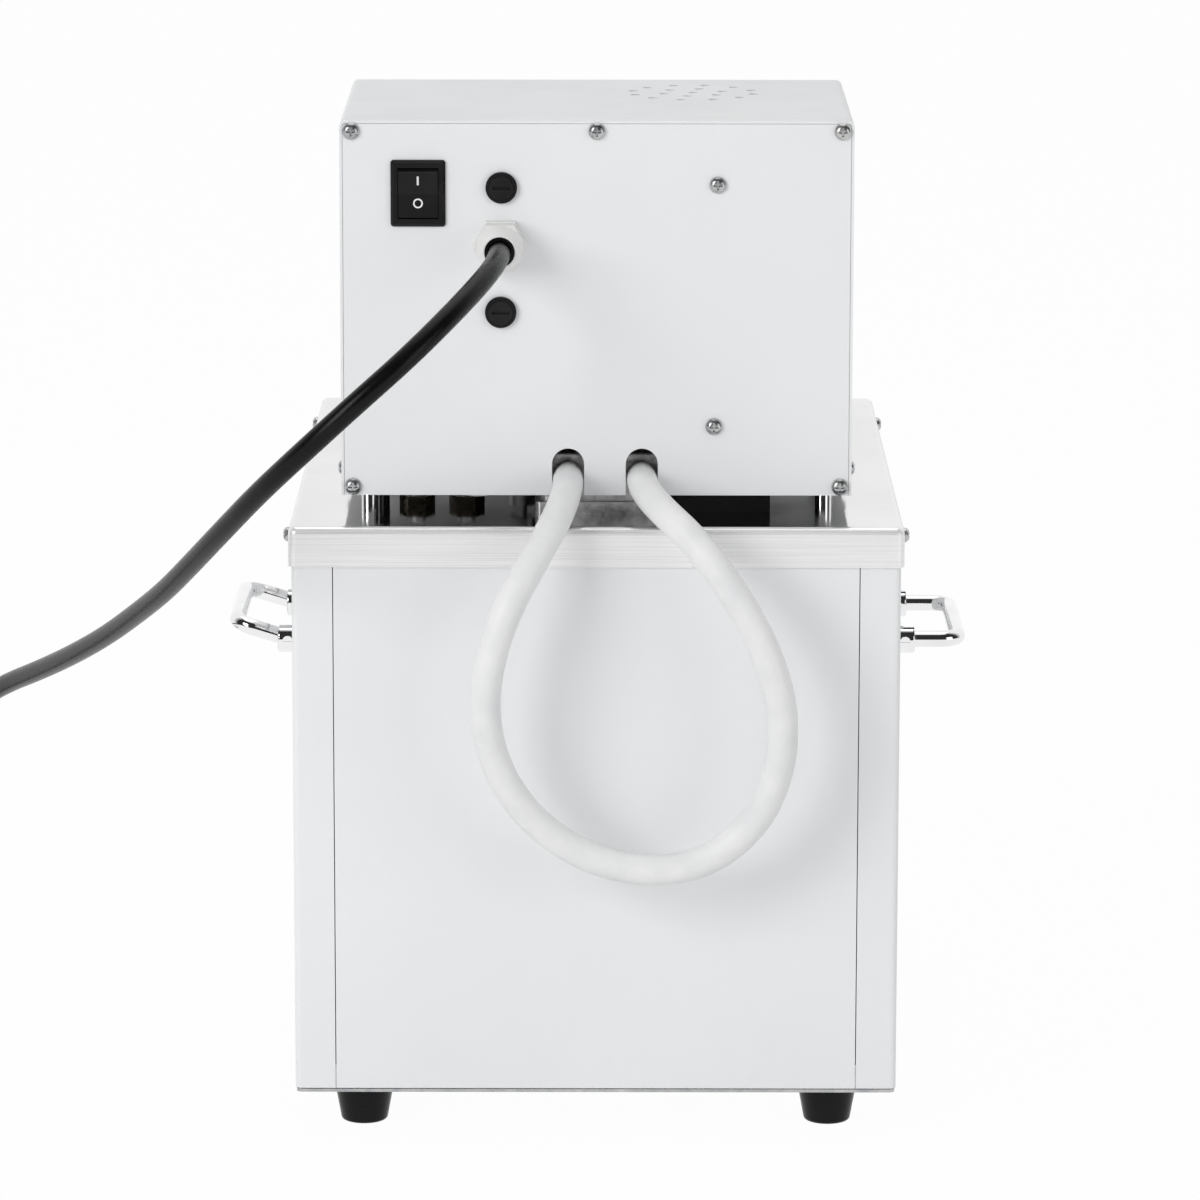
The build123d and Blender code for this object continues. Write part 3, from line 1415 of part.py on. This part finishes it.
def write_soft():
    save("hose", tube("hose", hose_route, hose_diameter, hose_bore)[0])
    cord, cord_run = tube("power_cord", cord_route, cord_diameter)
    save("power_cord", cord)
    turns = coil_turns(cord_length - cord_run - tail_length)
    place, direction = coil_place(turns)
    save("cord_coil", make_coil(turns))
    tail_points = make_tail_points(place, direction)
    save("cord_tail", tube("cord_tail", tail_points, cord_diameter)[0])
    plug_place = Plane(origin=tail_points[-1], x_dir=(direction[1], -direction[0], 0), z_dir=direction)
    save("plug_body", plug_place * make_plug_body())
    save("plug_pins", *[plug_place * pin for pin in make_plug_pins()])
    print("coil turns", round(turns, 3), "tail starts", [round(value, 1) for value in place])
    print("tail points", [[round(value, 1) for value in point] for point in tail_points])


write_case()
write_head()
write_pump()
write_electrics()
write_handles()
write_soft()
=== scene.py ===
import json
import math

import bmesh
import bpy
from mathutils import Matrix, Vector


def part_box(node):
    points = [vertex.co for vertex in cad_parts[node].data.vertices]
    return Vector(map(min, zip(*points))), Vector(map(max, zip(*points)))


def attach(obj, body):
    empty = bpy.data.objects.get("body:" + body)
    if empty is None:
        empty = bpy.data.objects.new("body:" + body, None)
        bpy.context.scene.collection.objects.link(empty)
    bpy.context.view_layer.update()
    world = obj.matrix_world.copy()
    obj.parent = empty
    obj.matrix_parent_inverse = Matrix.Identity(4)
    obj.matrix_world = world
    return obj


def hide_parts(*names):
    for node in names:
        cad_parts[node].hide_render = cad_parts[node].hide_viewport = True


# The circulating oil bath's looks: finishes for every piece, its lead and hose, its small marks, a studio
# and the camera. Lengths are metres. The service side faces -Y.

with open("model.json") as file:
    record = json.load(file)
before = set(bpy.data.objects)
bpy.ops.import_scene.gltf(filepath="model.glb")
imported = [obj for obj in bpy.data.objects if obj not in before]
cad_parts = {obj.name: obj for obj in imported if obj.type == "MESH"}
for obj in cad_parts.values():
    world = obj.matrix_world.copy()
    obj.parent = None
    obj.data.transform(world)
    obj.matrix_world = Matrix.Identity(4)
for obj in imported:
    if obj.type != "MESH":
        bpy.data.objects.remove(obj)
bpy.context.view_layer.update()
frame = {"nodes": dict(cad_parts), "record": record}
nodes = frame["nodes"]

BATH = "bath"

# Camera, solved from the photograph's edges
LENS_MM = 188.37
SENSOR_MM = 36.0
CAMERA_PLACE = (0.00221, -3.08027, 0.84615)
CAMERA_PITCH = 0.198920
CAMERA_YAW = 0.000156
CAMERA_ROLL = 0.001402

# Lead and hose
GLAND_X = -0.0452
GLAND_Z = 0.4275
GLAND_END_Y = -0.186
LEAD_DIAMETER = 0.0102
COIL_CENTRE = (-0.463, 0.1405)
COIL_INNER_RADIUS = 0.0465
COIL_PITCH = 0.0105
COIL_TURNS = 2.301
COIL_STEPS_A_TURN = 16
COIL_DESCENT_TURNS = 0.25
COIL_ENTRY_Z = 0.012
HOSE_DIAMETER = 0.0145
PORT_IN_X = -0.0134
PORT_OUT_X = 0.0214
PORT_Z = 0.3155
TUBE_BEVEL_RESOLUTION = 6
TUBE_STEPS = 12

# The switch's rocker, and the marks on it
ROCKER_PIVOT = (-0.0837, -0.1605, 0.4519)
ROCKER_REST_ANGLE = math.radians(10)
ROCKER_MIDDLE_FRONT = 0.0022
ROCKER_END_FRONT = 0.0042
ROCKER_END_HEIGHT = 0.01092
MARK_THICKNESS = 0.00008
ON_BAR = (0.0009, 0.0046)
ON_HEIGHT = 0.0070
OFF_RADII = (0.0023, 0.0016)
OFF_RING_STEPS = 28
OFF_HEIGHT = -0.0042

# The display's digits, as shares of their height, and the signs on the keys
DISPLAY_READING = "250"
DIGIT_SHARE_OF_DISPLAY = 0.52
DIGIT_WIDTH = 0.5
DIGIT_STEP = 0.85
SEGMENT_THICKNESS = 0.11
SEGMENT_LENGTH = 0.8
SEGMENT_OFFSET = 0.6
POINT_OFFSET = 0.43
POINT_SIZE = 0.1
ARROW = 0.0016
SET_RADII = (0.0017, 0.0012)
SET_RING_STEPS = 20

# Share of the usual reflection that moulded plastic and rubber give
MOULDED_SPECULAR = 0.16

# Height of a face's normal below which it counts as upright, and above which it looks up
UPRIGHT_BELOW = 0.6
LOOKS_UP_ABOVE = 0.9

# Studio: powers in watts, and the parts of the world's directions over which the dim room turns white
AMBIENT = 0.55
FLOOR_WHITE_SHARE = 0.97
FLOOR_SIZE = 6.0
ROOM_DARK = 0.03
BACKDROP_START = -0.10
BACKDROP_FULL = 0.35
CEILING_START = 0.90
CEILING_FULL = 1.0
CAMERA_CLIP_END = 50.0
LIGHT_TARGET = (0.0, 0.0, 0.25)
SOFTBOXES = {
    "key": {"place": (-1.9, -2.2, 1.3), "size": (1.2, 1.6), "power": 34},
    "fill": {"place": (2.2, -2.0, 0.6), "size": (1.4, 1.8), "power": 12},
    "top": {"place": (0.0, 0.4, 2.6), "size": (1.8, 1.8), "power": 7},
}

LEAD_ROUTE = [
    (GLAND_X, GLAND_END_Y, GLAND_Z), (GLAND_X, -0.206, GLAND_Z), (-0.0505, -0.237, 0.4235),
    (-0.0645, -0.267, 0.412), (-0.085, -0.286, 0.394), (-0.1095, -0.293, 0.373), (-0.1335, -0.286, 0.350),
    (-0.154, -0.265, 0.328), (-0.172, -0.233, 0.305), (-0.189, -0.194, 0.282), (-0.205, -0.152, 0.260),
    (-0.222, -0.108, 0.240), (-0.240, -0.063, 0.220), (-0.260, -0.017, 0.201), (-0.281, 0.030, 0.183),
    (-0.303, 0.076, 0.166), (-0.318, 0.102, 0.153), (-0.330, 0.122, 0.134), (-0.342, 0.138, 0.111),
    (-0.353, 0.150, 0.086), (-0.367, 0.162, 0.062), (-0.386, 0.174, 0.042), (-0.409, 0.182, 0.028),
    (-0.434, 0.187, 0.0185),
]
LEAD_TAIL = [(-0.5250, 0.1030, 0.0054), (-0.5193, 0.0859, 0.0096), (-0.5143, 0.0708, 0.0135)]

HOSE_ROUTE = [
    (PORT_IN_X, -0.152, PORT_Z), (PORT_IN_X, -0.164, PORT_Z), (-0.0141, -0.182, 0.3124),
    (-0.0186, -0.1992, 0.3034), (-0.0285, -0.2125, 0.288), (-0.041, -0.2205, 0.2665),
    (-0.050, -0.223, 0.241), (-0.0525, -0.222, 0.215), (-0.0465, -0.220, 0.188), (-0.030, -0.218, 0.163),
    (-0.004, -0.217, 0.145), (0.027, -0.217, 0.138), (0.056, -0.218, 0.145), (0.0775, -0.220, 0.166),
    (0.087, -0.223, 0.193), (0.087, -0.225, 0.220), (0.080, -0.225, 0.244), (0.0695, -0.2225, 0.2645),
    (0.0575, -0.217, 0.282), (0.0445, -0.209, 0.297), (0.0316, -0.1975, 0.3069), (0.0236, -0.1815, 0.313),
    (PORT_OUT_X, -0.163, PORT_Z), (PORT_OUT_X, -0.152, PORT_Z),
]


# Cords

def spline_curve(name, points, diameter):
    """A round curve whose smooth line has the points as its control points."""
    data = bpy.data.curves.new(name, "CURVE")
    data.dimensions = "3D"
    data.bevel_depth = diameter / 2
    data.bevel_resolution = TUBE_BEVEL_RESOLUTION
    data.resolution_u = TUBE_STEPS
    data.use_fill_caps = True
    spline = data.splines.new("NURBS")
    spline.points.add(len(points) - 1)
    for place, point in zip(spline.points, points):
        place.co = (*point, 1.0)
    spline.order_u = 3
    spline.use_endpoint_u = True
    piece = bpy.data.objects.new(name, data)
    bpy.context.scene.collection.objects.link(piece)
    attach(piece, BATH)
    return piece


def coil_point(turn):
    """A point of the coil, counted in turns from where the route meets it."""
    angle = math.pi / 2 + 2 * math.pi * turn
    radius = COIL_INNER_RADIUS + COIL_PITCH * turn
    descent = min(turn / COIL_DESCENT_TURNS, 1.0)
    rise = (COIL_ENTRY_Z - LEAD_DIAMETER / 2) * (1 - descent)
    return (COIL_CENTRE[0] + radius * math.cos(angle), COIL_CENTRE[1] + radius * math.sin(angle),
            LEAD_DIAMETER / 2 + rise)


def make_lead():
    steps = round(COIL_TURNS * COIL_STEPS_A_TURN)
    turns = [coil_point(COIL_TURNS * step / steps) for step in range(steps + 1)]
    lead = spline_curve("mains_lead", LEAD_ROUTE + turns + LEAD_TAIL, LEAD_DIAMETER)
    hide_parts("power_cord", "cord_coil", "cord_tail")
    return lead


def make_hose():
    hose = spline_curve("circulation_hose", HOSE_ROUTE, HOSE_DIAMETER)
    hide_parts("hose")
    return hose


# Materials

def ramp(tree, value, start, end, low, high):
    """The value's part from start to end, spread over low to high."""
    fit = tree.nodes.new("ShaderNodeMapRange")
    for socket, number in (("From Min", start), ("From Max", end), ("To Min", low), ("To Max", high)):
        fit.inputs[socket].default_value = number
    tree.links.new(value, fit.inputs["Value"])
    return fit.outputs["Result"]


class Look:
    """A material built round one principled shader."""

    def __init__(self, name, roughness, metallic=0.0):
        self.material = bpy.data.materials.new(name)
        self.material.use_nodes = True
        self.tree = self.material.node_tree
        self.tree.nodes.clear()
        self.output = self.add("ShaderNodeOutputMaterial")
        self.shader = self.add("ShaderNodeBsdfPrincipled")
        self.link(self.shader.outputs["BSDF"], self.output.inputs["Surface"])
        self.set("Roughness", roughness)
        self.set("Metallic", metallic)
        self.place = self.add("ShaderNodeTexCoord").outputs["Object"]

    def add(self, kind):
        return self.tree.nodes.new(kind)

    def link(self, source, target):
        self.tree.links.new(source, target)

    def set(self, socket, value):
        self.shader.inputs[socket].default_value = value

    def stretched(self, scale):
        """The object's own coordinates with a different scale along each axis."""
        mapping = self.add("ShaderNodeMapping")
        mapping.inputs["Scale"].default_value = scale
        self.link(self.place, mapping.inputs["Vector"])
        return mapping.outputs["Vector"]

    def noise(self, scale, detail=3.0, stretch=None):
        noise = self.add("ShaderNodeTexNoise")
        noise.inputs["Scale"].default_value = scale
        noise.inputs["Detail"].default_value = detail
        self.link(self.stretched(stretch) if stretch else self.place, noise.inputs["Vector"])
        return noise.outputs["Fac"]

    def fit(self, value, low, high, start=0.3, end=0.7):
        """The value spread over low to high, by default for a noise, which stays near its middle."""
        return ramp(self.tree, value, start, end, low, high)

    def mix(self, factor, first, second):
        """A colour between two, each a colour or a socket."""
        mix = self.add("ShaderNodeMix")
        mix.data_type = "RGBA"
        self.link(factor, mix.inputs["Factor"])
        for socket, color in (("A", first), ("B", second)):
            target = [entry for entry in mix.inputs if entry.name == socket and entry.type == "RGBA"][0]
            if hasattr(color, "default_value"):
                self.link(color, target)
            else:
                target.default_value = (*color, 1.0)
        return [entry for entry in mix.outputs if entry.type == "RGBA"][0]

    def color(self, factor, first, second):
        self.link(self.mix(factor, first, second), self.shader.inputs["Base Color"])

    def roughness(self, factor, low, high):
        self.link(self.fit(factor, low, high), self.shader.inputs["Roughness"])

    def bump(self, height, distance):
        bump = self.add("ShaderNodeBump")
        bump.inputs["Distance"].default_value = distance
        self.link(height, bump.inputs["Height"])
        self.link(bump.outputs["Normal"], self.shader.inputs["Normal"])

    def facing_up(self):
        """1 on faces that look up, 0 on upright ones."""
        normal = self.add("ShaderNodeNewGeometry").outputs["Normal"]
        split = self.add("ShaderNodeSeparateXYZ")
        self.link(normal, split.inputs["Vector"])
        return self.fit(split.outputs["Z"], 0.0, 1.0, UPRIGHT_BELOW, LOOKS_UP_ABOVE)


def grained(name, dark, light, clouds, rough, rough_grain=None, metallic=0.0,
            bump_grain=None, bump_detail=2.0, bump_depth=0.0):
    """A surface that drifts from a darker to a lighter colour, with a grain in its roughness and relief.

    Grains are noise scales. Without a rough_grain, rough is one value instead of a range.
    """
    look = Look(name, rough if rough_grain is None else sum(rough) / 2, metallic)
    look.color(look.fit(look.noise(clouds), 0, 1), dark, light)
    if rough_grain is not None:
        look.roughness(look.noise(rough_grain), *rough)
    if bump_grain is not None:
        look.bump(look.noise(bump_grain, bump_detail), bump_depth)
    return look


def moulded(name, dark, light, rough, grain, depth):
    """A moulded plastic or rubber with a fine grain."""
    look = grained(name, dark, light, clouds=60, rough=rough, rough_grain=grain / 3,
                   bump_grain=grain, bump_depth=depth)
    look.set("Specular IOR Level", MOULDED_SPECULAR)
    return look


def painted_white():
    return grained("white_powder_coat", dark=(0.815, 0.826, 0.838), light=(0.845, 0.853, 0.862), clouds=9,
                   rough=(0.36, 0.48), rough_grain=40, bump_grain=900, bump_depth=0.00002)


def stainless_brushed():
    """Polished where it looks up, and brushed along its length on the upright skirt. Its colours are painted
    light as well: the darker grey top is a painted dark reflection, and the near-white, partly non-metal
    skirt is a painted bright sheen.
    """
    look = Look("stainless_deck", 0.2, 1.0)
    up = look.facing_up()
    strokes = look.noise(1, 4, (14, 14, 2600))
    clouds = look.noise(14, 3)
    swirls = look.noise(1, 3, (900, 30, 30))
    # Painted light: the skirt's near-white colour, only partly metal below, is a painted bright sheen; the
    # top's darker grey is a painted dark reflection.
    skirt = look.mix(look.fit(strokes, 0, 1), (0.80, 0.80, 0.80), (0.97, 0.97, 0.97))
    top = look.mix(look.fit(clouds, 0, 1), (0.68, 0.68, 0.68), (0.76, 0.76, 0.76))
    look.color(up, skirt, top)
    look.link(look.fit(up, 0.35, 1.0, 0, 1), look.shader.inputs["Metallic"])
    rough = look.add("ShaderNodeMix")
    rough.data_type = "FLOAT"
    look.link(up, rough.inputs[0])
    look.link(look.fit(strokes, 0.30, 0.46), rough.inputs[2])
    look.link(look.fit(swirls, 0.06, 0.13), rough.inputs[3])
    look.link(rough.outputs[0], look.shader.inputs["Roughness"])
    look.bump(strokes, 0.000012)
    return look


def stainless_plain():
    """Mill finish, drawn along its height."""
    look = grained("stainless_mill", dark=(0.56, 0.56, 0.57), light=(0.68, 0.68, 0.67), clouds=18,
                   rough=0.35, metallic=1.0, bump_grain=500, bump_depth=0.00001)
    look.roughness(look.noise(1, 4, (400, 400, 25)), 0.26, 0.42)
    return look


def chrome():
    return grained("bright_chrome", dark=(0.80, 0.80, 0.81), light=(0.90, 0.90, 0.90), clouds=35,
                   rough=(0.03, 0.11), rough_grain=60, metallic=1.0)


def zinc():
    return grained("zinc_plating", dark=(0.40, 0.41, 0.43), light=(0.58, 0.58, 0.57), clouds=120,
                   rough=(0.2, 0.4), rough_grain=300, metallic=1.0, bump_grain=1500, bump_depth=0.000015)


def cast_alloy():
    return grained("cast_alloy", dark=(0.45, 0.45, 0.45), light=(0.78, 0.78, 0.78), clouds=200,
                   rough=(0.3, 0.6), rough_grain=350, metallic=1.0,
                   bump_grain=650, bump_detail=4, bump_depth=0.0002)


def black_plastic():
    return moulded("black_plastic", dark=(0.010, 0.010, 0.011), light=(0.018, 0.018, 0.019),
                   rough=(0.32, 0.46), grain=1400, depth=0.00003)


def black_gloss():
    return moulded("black_gloss", dark=(0.006, 0.006, 0.007), light=(0.010, 0.010, 0.011),
                   rough=(0.16, 0.26), grain=900, depth=0.000006)


def black_rubber():
    return moulded("black_rubber", dark=(0.003, 0.003, 0.003), light=(0.006, 0.006, 0.006),
                   rough=(0.24, 0.32), grain=1800, depth=0.000004)


def key_grey():
    return moulded("key_grey", dark=(0.42, 0.43, 0.45), light=(0.48, 0.49, 0.51),
                   rough=(0.4, 0.5), grain=1200, depth=0.00002)


def white_nylon():
    look = moulded("white_nylon", dark=(0.78, 0.78, 0.77), light=(0.84, 0.84, 0.83),
                   rough=(0.32, 0.44), grain=1100, depth=0.00002)
    look.set("Subsurface Weight", 0.15)
    look.set("Subsurface Radius", (0.004, 0.004, 0.004))
    return look


def silicone():
    """Milky silicone: light passes into it, and its sides look a little deeper than its middle."""
    look = moulded("milky_silicone", dark=(0.76, 0.765, 0.77), light=(0.83, 0.83, 0.83),
                   rough=(0.28, 0.40), grain=700, depth=0.00001)
    look.set("Subsurface Weight", 0.6)
    look.set("Subsurface Radius", (0.006, 0.006, 0.006))
    look.set("Subsurface Scale", 1.0)
    return look


def brass(name="plain_brass", dark=(0.50, 0.40, 0.21), light=(0.66, 0.53, 0.29)):
    return grained(name, dark, light, clouds=90, rough=(0.2, 0.4), rough_grain=260, metallic=1.0,
                   bump_grain=900, bump_depth=0.00001)


def wool():
    look = Look("mineral_wool", 0.95)
    fibres = look.noise(1, 6, (900, 300, 900))
    look.color(look.fit(fibres, 0, 1), (0.55, 0.52, 0.42), (0.80, 0.78, 0.70))
    look.bump(fibres, 0.0008)
    return look


def glass_dark():
    return grained("tinted_window", dark=(0.016, 0.005, 0.005), light=(0.024, 0.008, 0.008), clouds=30,
                   rough=(0.05, 0.12), rough_grain=500)


def glass_clear():
    look = Look("clear_tube", 0.05)
    look.set("Base Color", (0.9, 0.92, 0.92, 1.0))
    look.set("Transmission Weight", 0.9)
    look.roughness(look.noise(300), 0.03, 0.08)
    return look


def board_green():
    look = Look("circuit_board", 0.45)
    tracks = look.noise(1, 1, (240, 10, 600))
    look.color(look.fit(tracks, 0, 1, 0.48, 0.52), (0.02, 0.13, 0.06), (0.05, 0.22, 0.10))
    return look


def motor_grey():
    return grained("motor_enamel", dark=(0.17, 0.18, 0.19), light=(0.23, 0.24, 0.25), clouds=25, rough=0.5,
                   bump_grain=600, bump_detail=3, bump_depth=0.00006)


def white_ink():
    return grained("white_ink", dark=(0.80, 0.80, 0.80), light=(0.90, 0.90, 0.90), clouds=2000, rough=0.5)


def lit_segments():
    look = grained("lit_segments", dark=(0.75, 0.04, 0.02), light=(0.9, 0.07, 0.04), clouds=1500, rough=0.4)
    look.set("Emission Color", (0.9, 0.05, 0.03, 1.0))
    look.set("Emission Strength", 0.6)
    return look


SLOT_FINISHES = (
    painted_white, stainless_brushed, stainless_plain, chrome, zinc, cast_alloy, black_plastic, black_gloss,
    white_nylon, black_rubber, silicone, brass, wool, glass_dark, glass_clear, board_green, motor_grey,
    key_grey,
)


def dress(piece, look):
    for entry in piece.material_slots:
        entry.material = look.material


def dress_nodes(finishes):
    """Every CAD node gets the finish of its slot, but the heater's bushings get a near-black brass, painted
    shade that keeps them as dark as the shade they sit in.
    """
    for part in frame["record"]["subparts"]:
        dress(nodes[part["node"]], finishes[part["material_slot"]])
    # Painted shade: the bushings' brass is made near-black to stand in for the shade around them.
    dress(nodes["heater_bushings"],
          brass("painted_shade_brass", dark=(0.07, 0.06, 0.045), light=(0.13, 0.11, 0.08)))


# Marks on the switch, the display and the keys

def flat_mark(name, loops, place, body, finish):
    """A thin raised mark from outlines in its own XY plane, each a list of points that runs anticlockwise."""
    points = []
    faces = []
    for loop in loops:
        count = len(loop)
        low = [len(points) + step for step in range(count)]
        high = [corner + count for corner in low]
        points += [(x, y, height) for height in (0.0, MARK_THICKNESS) for x, y in loop]
        faces += [low[::-1], high]
        faces += [(low[step - 1], low[step], high[step], high[step - 1]) for step in range(count)]
    mesh = bpy.data.meshes.new(name)
    mesh.from_pydata(points, [], faces)
    mark = bpy.data.objects.new(name, mesh)
    bpy.context.scene.collection.objects.link(mark)
    mark.matrix_world = place
    mesh.materials.append(finish.material)
    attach(mark, body)


def bar(x, y, width, height):
    """A rectangle about its middle."""
    return [(x - width / 2, y - height / 2), (x + width / 2, y - height / 2),
            (x + width / 2, y + height / 2), (x - width / 2, y + height / 2)]


def ring(outer, inner, steps):
    """A ring as a loop of short four-sided pieces."""
    turns = [2 * math.pi * step / steps for step in range(steps + 1)]
    return [[(radius * math.cos(turn), radius * math.sin(turn))
             for radius, turn in ((inner, low), (outer, low), (outer, high), (inner, high))]
            for low, high in zip(turns, turns[1:])]


def rocker_place(height):
    """A place on the rocker's face at a height from its pins, looking out along the face's normal."""
    slope = math.atan2(ROCKER_END_FRONT - ROCKER_MIDDLE_FRONT, ROCKER_END_HEIGHT)
    side = 1 if height > 0 else -1
    front = ROCKER_MIDDLE_FRONT + abs(height) * math.tan(slope)
    upright = Matrix.Rotation(math.pi / 2, 4, "X")
    tilt = Matrix.Rotation(side * slope, 4, "X")
    on_face = Matrix.Translation((0, -front, height)) @ tilt @ upright
    turned = Matrix.Rotation(ROCKER_REST_ANGLE, 4, "X")
    return Matrix.Translation(ROCKER_PIVOT) @ turned @ on_face


def mark_switch(finish):
    bar_width, bar_height = ON_BAR
    outer, inner = OFF_RADII
    flat_mark("mark_on", [bar(0, 0, bar_width, bar_height)], rocker_place(ON_HEIGHT), "main_rocker", finish)
    flat_mark("mark_off", ring(outer, inner, OFF_RING_STEPS), rocker_place(OFF_HEIGHT), "main_rocker", finish)


LIT_SEGMENTS = {
    "2": ("top", "upper_right", "middle", "lower_left", "bottom"),
    "5": ("top", "upper_left", "middle", "lower_right", "bottom"),
    "0": ("top", "upper_left", "upper_right", "lower_left", "lower_right", "bottom"),
}


def segment_digit(number, x, height):
    """The lit bars of a seven-segment digit."""
    half = height / 2
    wide = height * DIGIT_WIDTH
    thin = height * SEGMENT_THICKNESS
    bars = {name: bar(x, y, wide, thin) for name, y in (("top", half), ("middle", 0), ("bottom", -half))}
    for side, sign in (("left", -1), ("right", 1)):
        edge = x + sign * wide * SEGMENT_OFFSET
        bars["upper_" + side] = bar(edge, half / 2, thin, half * SEGMENT_LENGTH)
        bars["lower_" + side] = bar(edge, -half / 2, thin, half * SEGMENT_LENGTH)
    return [bars[name] for name in LIT_SEGMENTS[number]]


def front_place(x, y, z):
    """A place that looks towards the operator, with its X to the operator's right."""
    axes = Matrix(((-1, 0, 0, 0), (0, 0, 1, 0), (0, 1, 0, 0), (0, 0, 0, 1)))
    return Matrix.Translation((x, y, z)) @ axes


def mark_display(finish):
    low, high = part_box("display")
    middle = (low + high) / 2
    height = (high.z - low.z) * DIGIT_SHARE_OF_DISPLAY
    loops = []
    for place, number in enumerate(DISPLAY_READING, start=-1):
        loops += segment_digit(number, place * height * DIGIT_STEP, height)
    point = height * POINT_SIZE
    loops.append(bar(height * POINT_OFFSET, -height / 2, point, point))
    flat_mark("display_digits", loops, front_place(middle.x, high.y, middle.z), BATH, finish)


def mark_keys(finish):
    outer, inner = SET_RADII
    marks = {
        "set_key": ring(outer, inner, SET_RING_STEPS),
        "shift_key": [[(-ARROW, ARROW), (-ARROW, -ARROW), (ARROW, 0)]],
        "down_key": [[(-ARROW, ARROW), (0, -ARROW), (ARROW, ARROW)]],
        "up_key": [[(-ARROW, -ARROW), (ARROW, -ARROW), (0, ARROW)]],
    }
    for number, (body, loops) in enumerate(marks.items(), start=1):
        low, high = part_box(f"key_{number}")
        middle = (low + high) / 2
        flat_mark(f"mark_{body}", loops, front_place(middle.x, high.y, middle.z), body, finish)


# Studio

def greater(tree, first, second):
    most = tree.nodes.new("ShaderNodeMath")
    most.operation = "MAXIMUM"
    tree.links.new(first, most.inputs[0])
    tree.links.new(second, most.inputs[1])
    return most.outputs["Value"]


def emission_mix(tree):
    """1 for rays from the camera and for mirrored or passing rays, 0 for the others."""
    path = tree.nodes.new("ShaderNodeLightPath")
    seen = path.outputs["Is Camera Ray"]
    for name in ("Is Glossy Ray", "Is Transmission Ray"):
        seen = greater(tree, seen, path.outputs[name])
    return seen


def make_world():
    """White to the camera. Metal shows it white behind and above the object, and dim on the service side."""
    world = bpy.data.worlds.new("studio")
    world.use_nodes = True
    tree = world.node_tree
    tree.nodes.clear()
    output = tree.nodes.new("ShaderNodeOutputWorld")
    seen_white = tree.nodes.new("ShaderNodeBackground")
    ambient = tree.nodes.new("ShaderNodeBackground")
    ambient.inputs["Strength"].default_value = AMBIENT
    for background in (seen_white, ambient):
        background.inputs["Color"].default_value = (1.0, 1.0, 1.0, 1.0)
    split = tree.nodes.new("ShaderNodeSeparateXYZ")
    tree.links.new(tree.nodes.new("ShaderNodeTexCoord").outputs["Generated"], split.inputs["Vector"])
    backdrop = ramp(tree, split.outputs["Y"], BACKDROP_START, BACKDROP_FULL, ROOM_DARK, 1.0)
    ceiling = ramp(tree, split.outputs["Z"], CEILING_START, CEILING_FULL, ROOM_DARK, 1.0)
    path = tree.nodes.new("ShaderNodeLightPath")
    room = greater(tree, greater(tree, backdrop, ceiling), path.outputs["Is Camera Ray"])
    tree.links.new(room, seen_white.inputs["Strength"])
    mix = tree.nodes.new("ShaderNodeMixShader")
    tree.links.new(emission_mix(tree), mix.inputs["Fac"])
    tree.links.new(ambient.outputs["Background"], mix.inputs[1])
    tree.links.new(seen_white.outputs["Background"], mix.inputs[2])
    tree.links.new(mix.outputs["Shader"], output.inputs["Surface"])
    bpy.context.scene.world = world


def make_floor():
    mesh = bpy.data.meshes.new("floor")
    work = bmesh.new()
    bmesh.ops.create_grid(work, x_segments=1, y_segments=1, size=FLOOR_SIZE)
    work.to_mesh(mesh)
    work.free()
    floor = bpy.data.objects.new("floor", mesh)
    bpy.context.scene.collection.objects.link(floor)
    look = Look("pale_floor", 0.7)
    look.set("Base Color", (0.88, 0.88, 0.88, 1.0))
    white = look.add("ShaderNodeEmission")
    white.inputs["Strength"].default_value = 1.0
    share = look.add("ShaderNodeMath")
    share.operation = "MULTIPLY"
    share.inputs[1].default_value = FLOOR_WHITE_SHARE
    look.link(emission_mix(look.tree), share.inputs[0])
    mix = look.add("ShaderNodeMixShader")
    look.link(share.outputs["Value"], mix.inputs["Fac"])
    look.link(look.shader.outputs["BSDF"], mix.inputs[1])
    look.link(white.outputs["Emission"], mix.inputs[2])
    look.link(mix.outputs["Shader"], look.output.inputs["Surface"])
    mesh.materials.append(look.material)


def make_softbox(name, place, size, power):
    data = bpy.data.lights.new(name, "AREA")
    data.shape = "RECTANGLE"
    data.size, data.size_y = size
    data.energy = power
    lamp = bpy.data.objects.new(name, data)
    bpy.context.scene.collection.objects.link(lamp)
    lamp.location = place
    lamp.rotation_euler = (Vector(LIGHT_TARGET) - Vector(place)).to_track_quat("-Z", "Y").to_euler()


def make_camera():
    data = bpy.data.cameras.new("camera")
    data.lens = LENS_MM
    data.sensor_width = SENSOR_MM
    data.sensor_fit = "HORIZONTAL"
    data.clip_end = CAMERA_CLIP_END
    camera = bpy.data.objects.new("camera", data)
    bpy.context.scene.collection.objects.link(camera)
    turn = Matrix.Rotation(CAMERA_YAW, 4, "Z") @ Matrix.Rotation(math.pi / 2 - CAMERA_PITCH, 4, "X")
    turn = turn @ Matrix.Rotation(CAMERA_ROLL, 4, "Z")
    camera.matrix_world = Matrix.Translation(CAMERA_PLACE) @ turn
    bpy.context.scene.camera = camera


finishes = {make.__name__: make() for make in SLOT_FINISHES}
dress_nodes(finishes)
make_lead().data.materials.append(finishes["black_rubber"].material)
make_hose().data.materials.append(finishes["silicone"].material)
ink = white_ink()
mark_switch(ink)
mark_display(lit_segments())
mark_keys(ink)
make_world()
make_floor()
for name, softbox in SOFTBOXES.items():
    make_softbox(name, **softbox)
make_camera()
bpy.context.scene.view_settings.view_transform = "Standard"
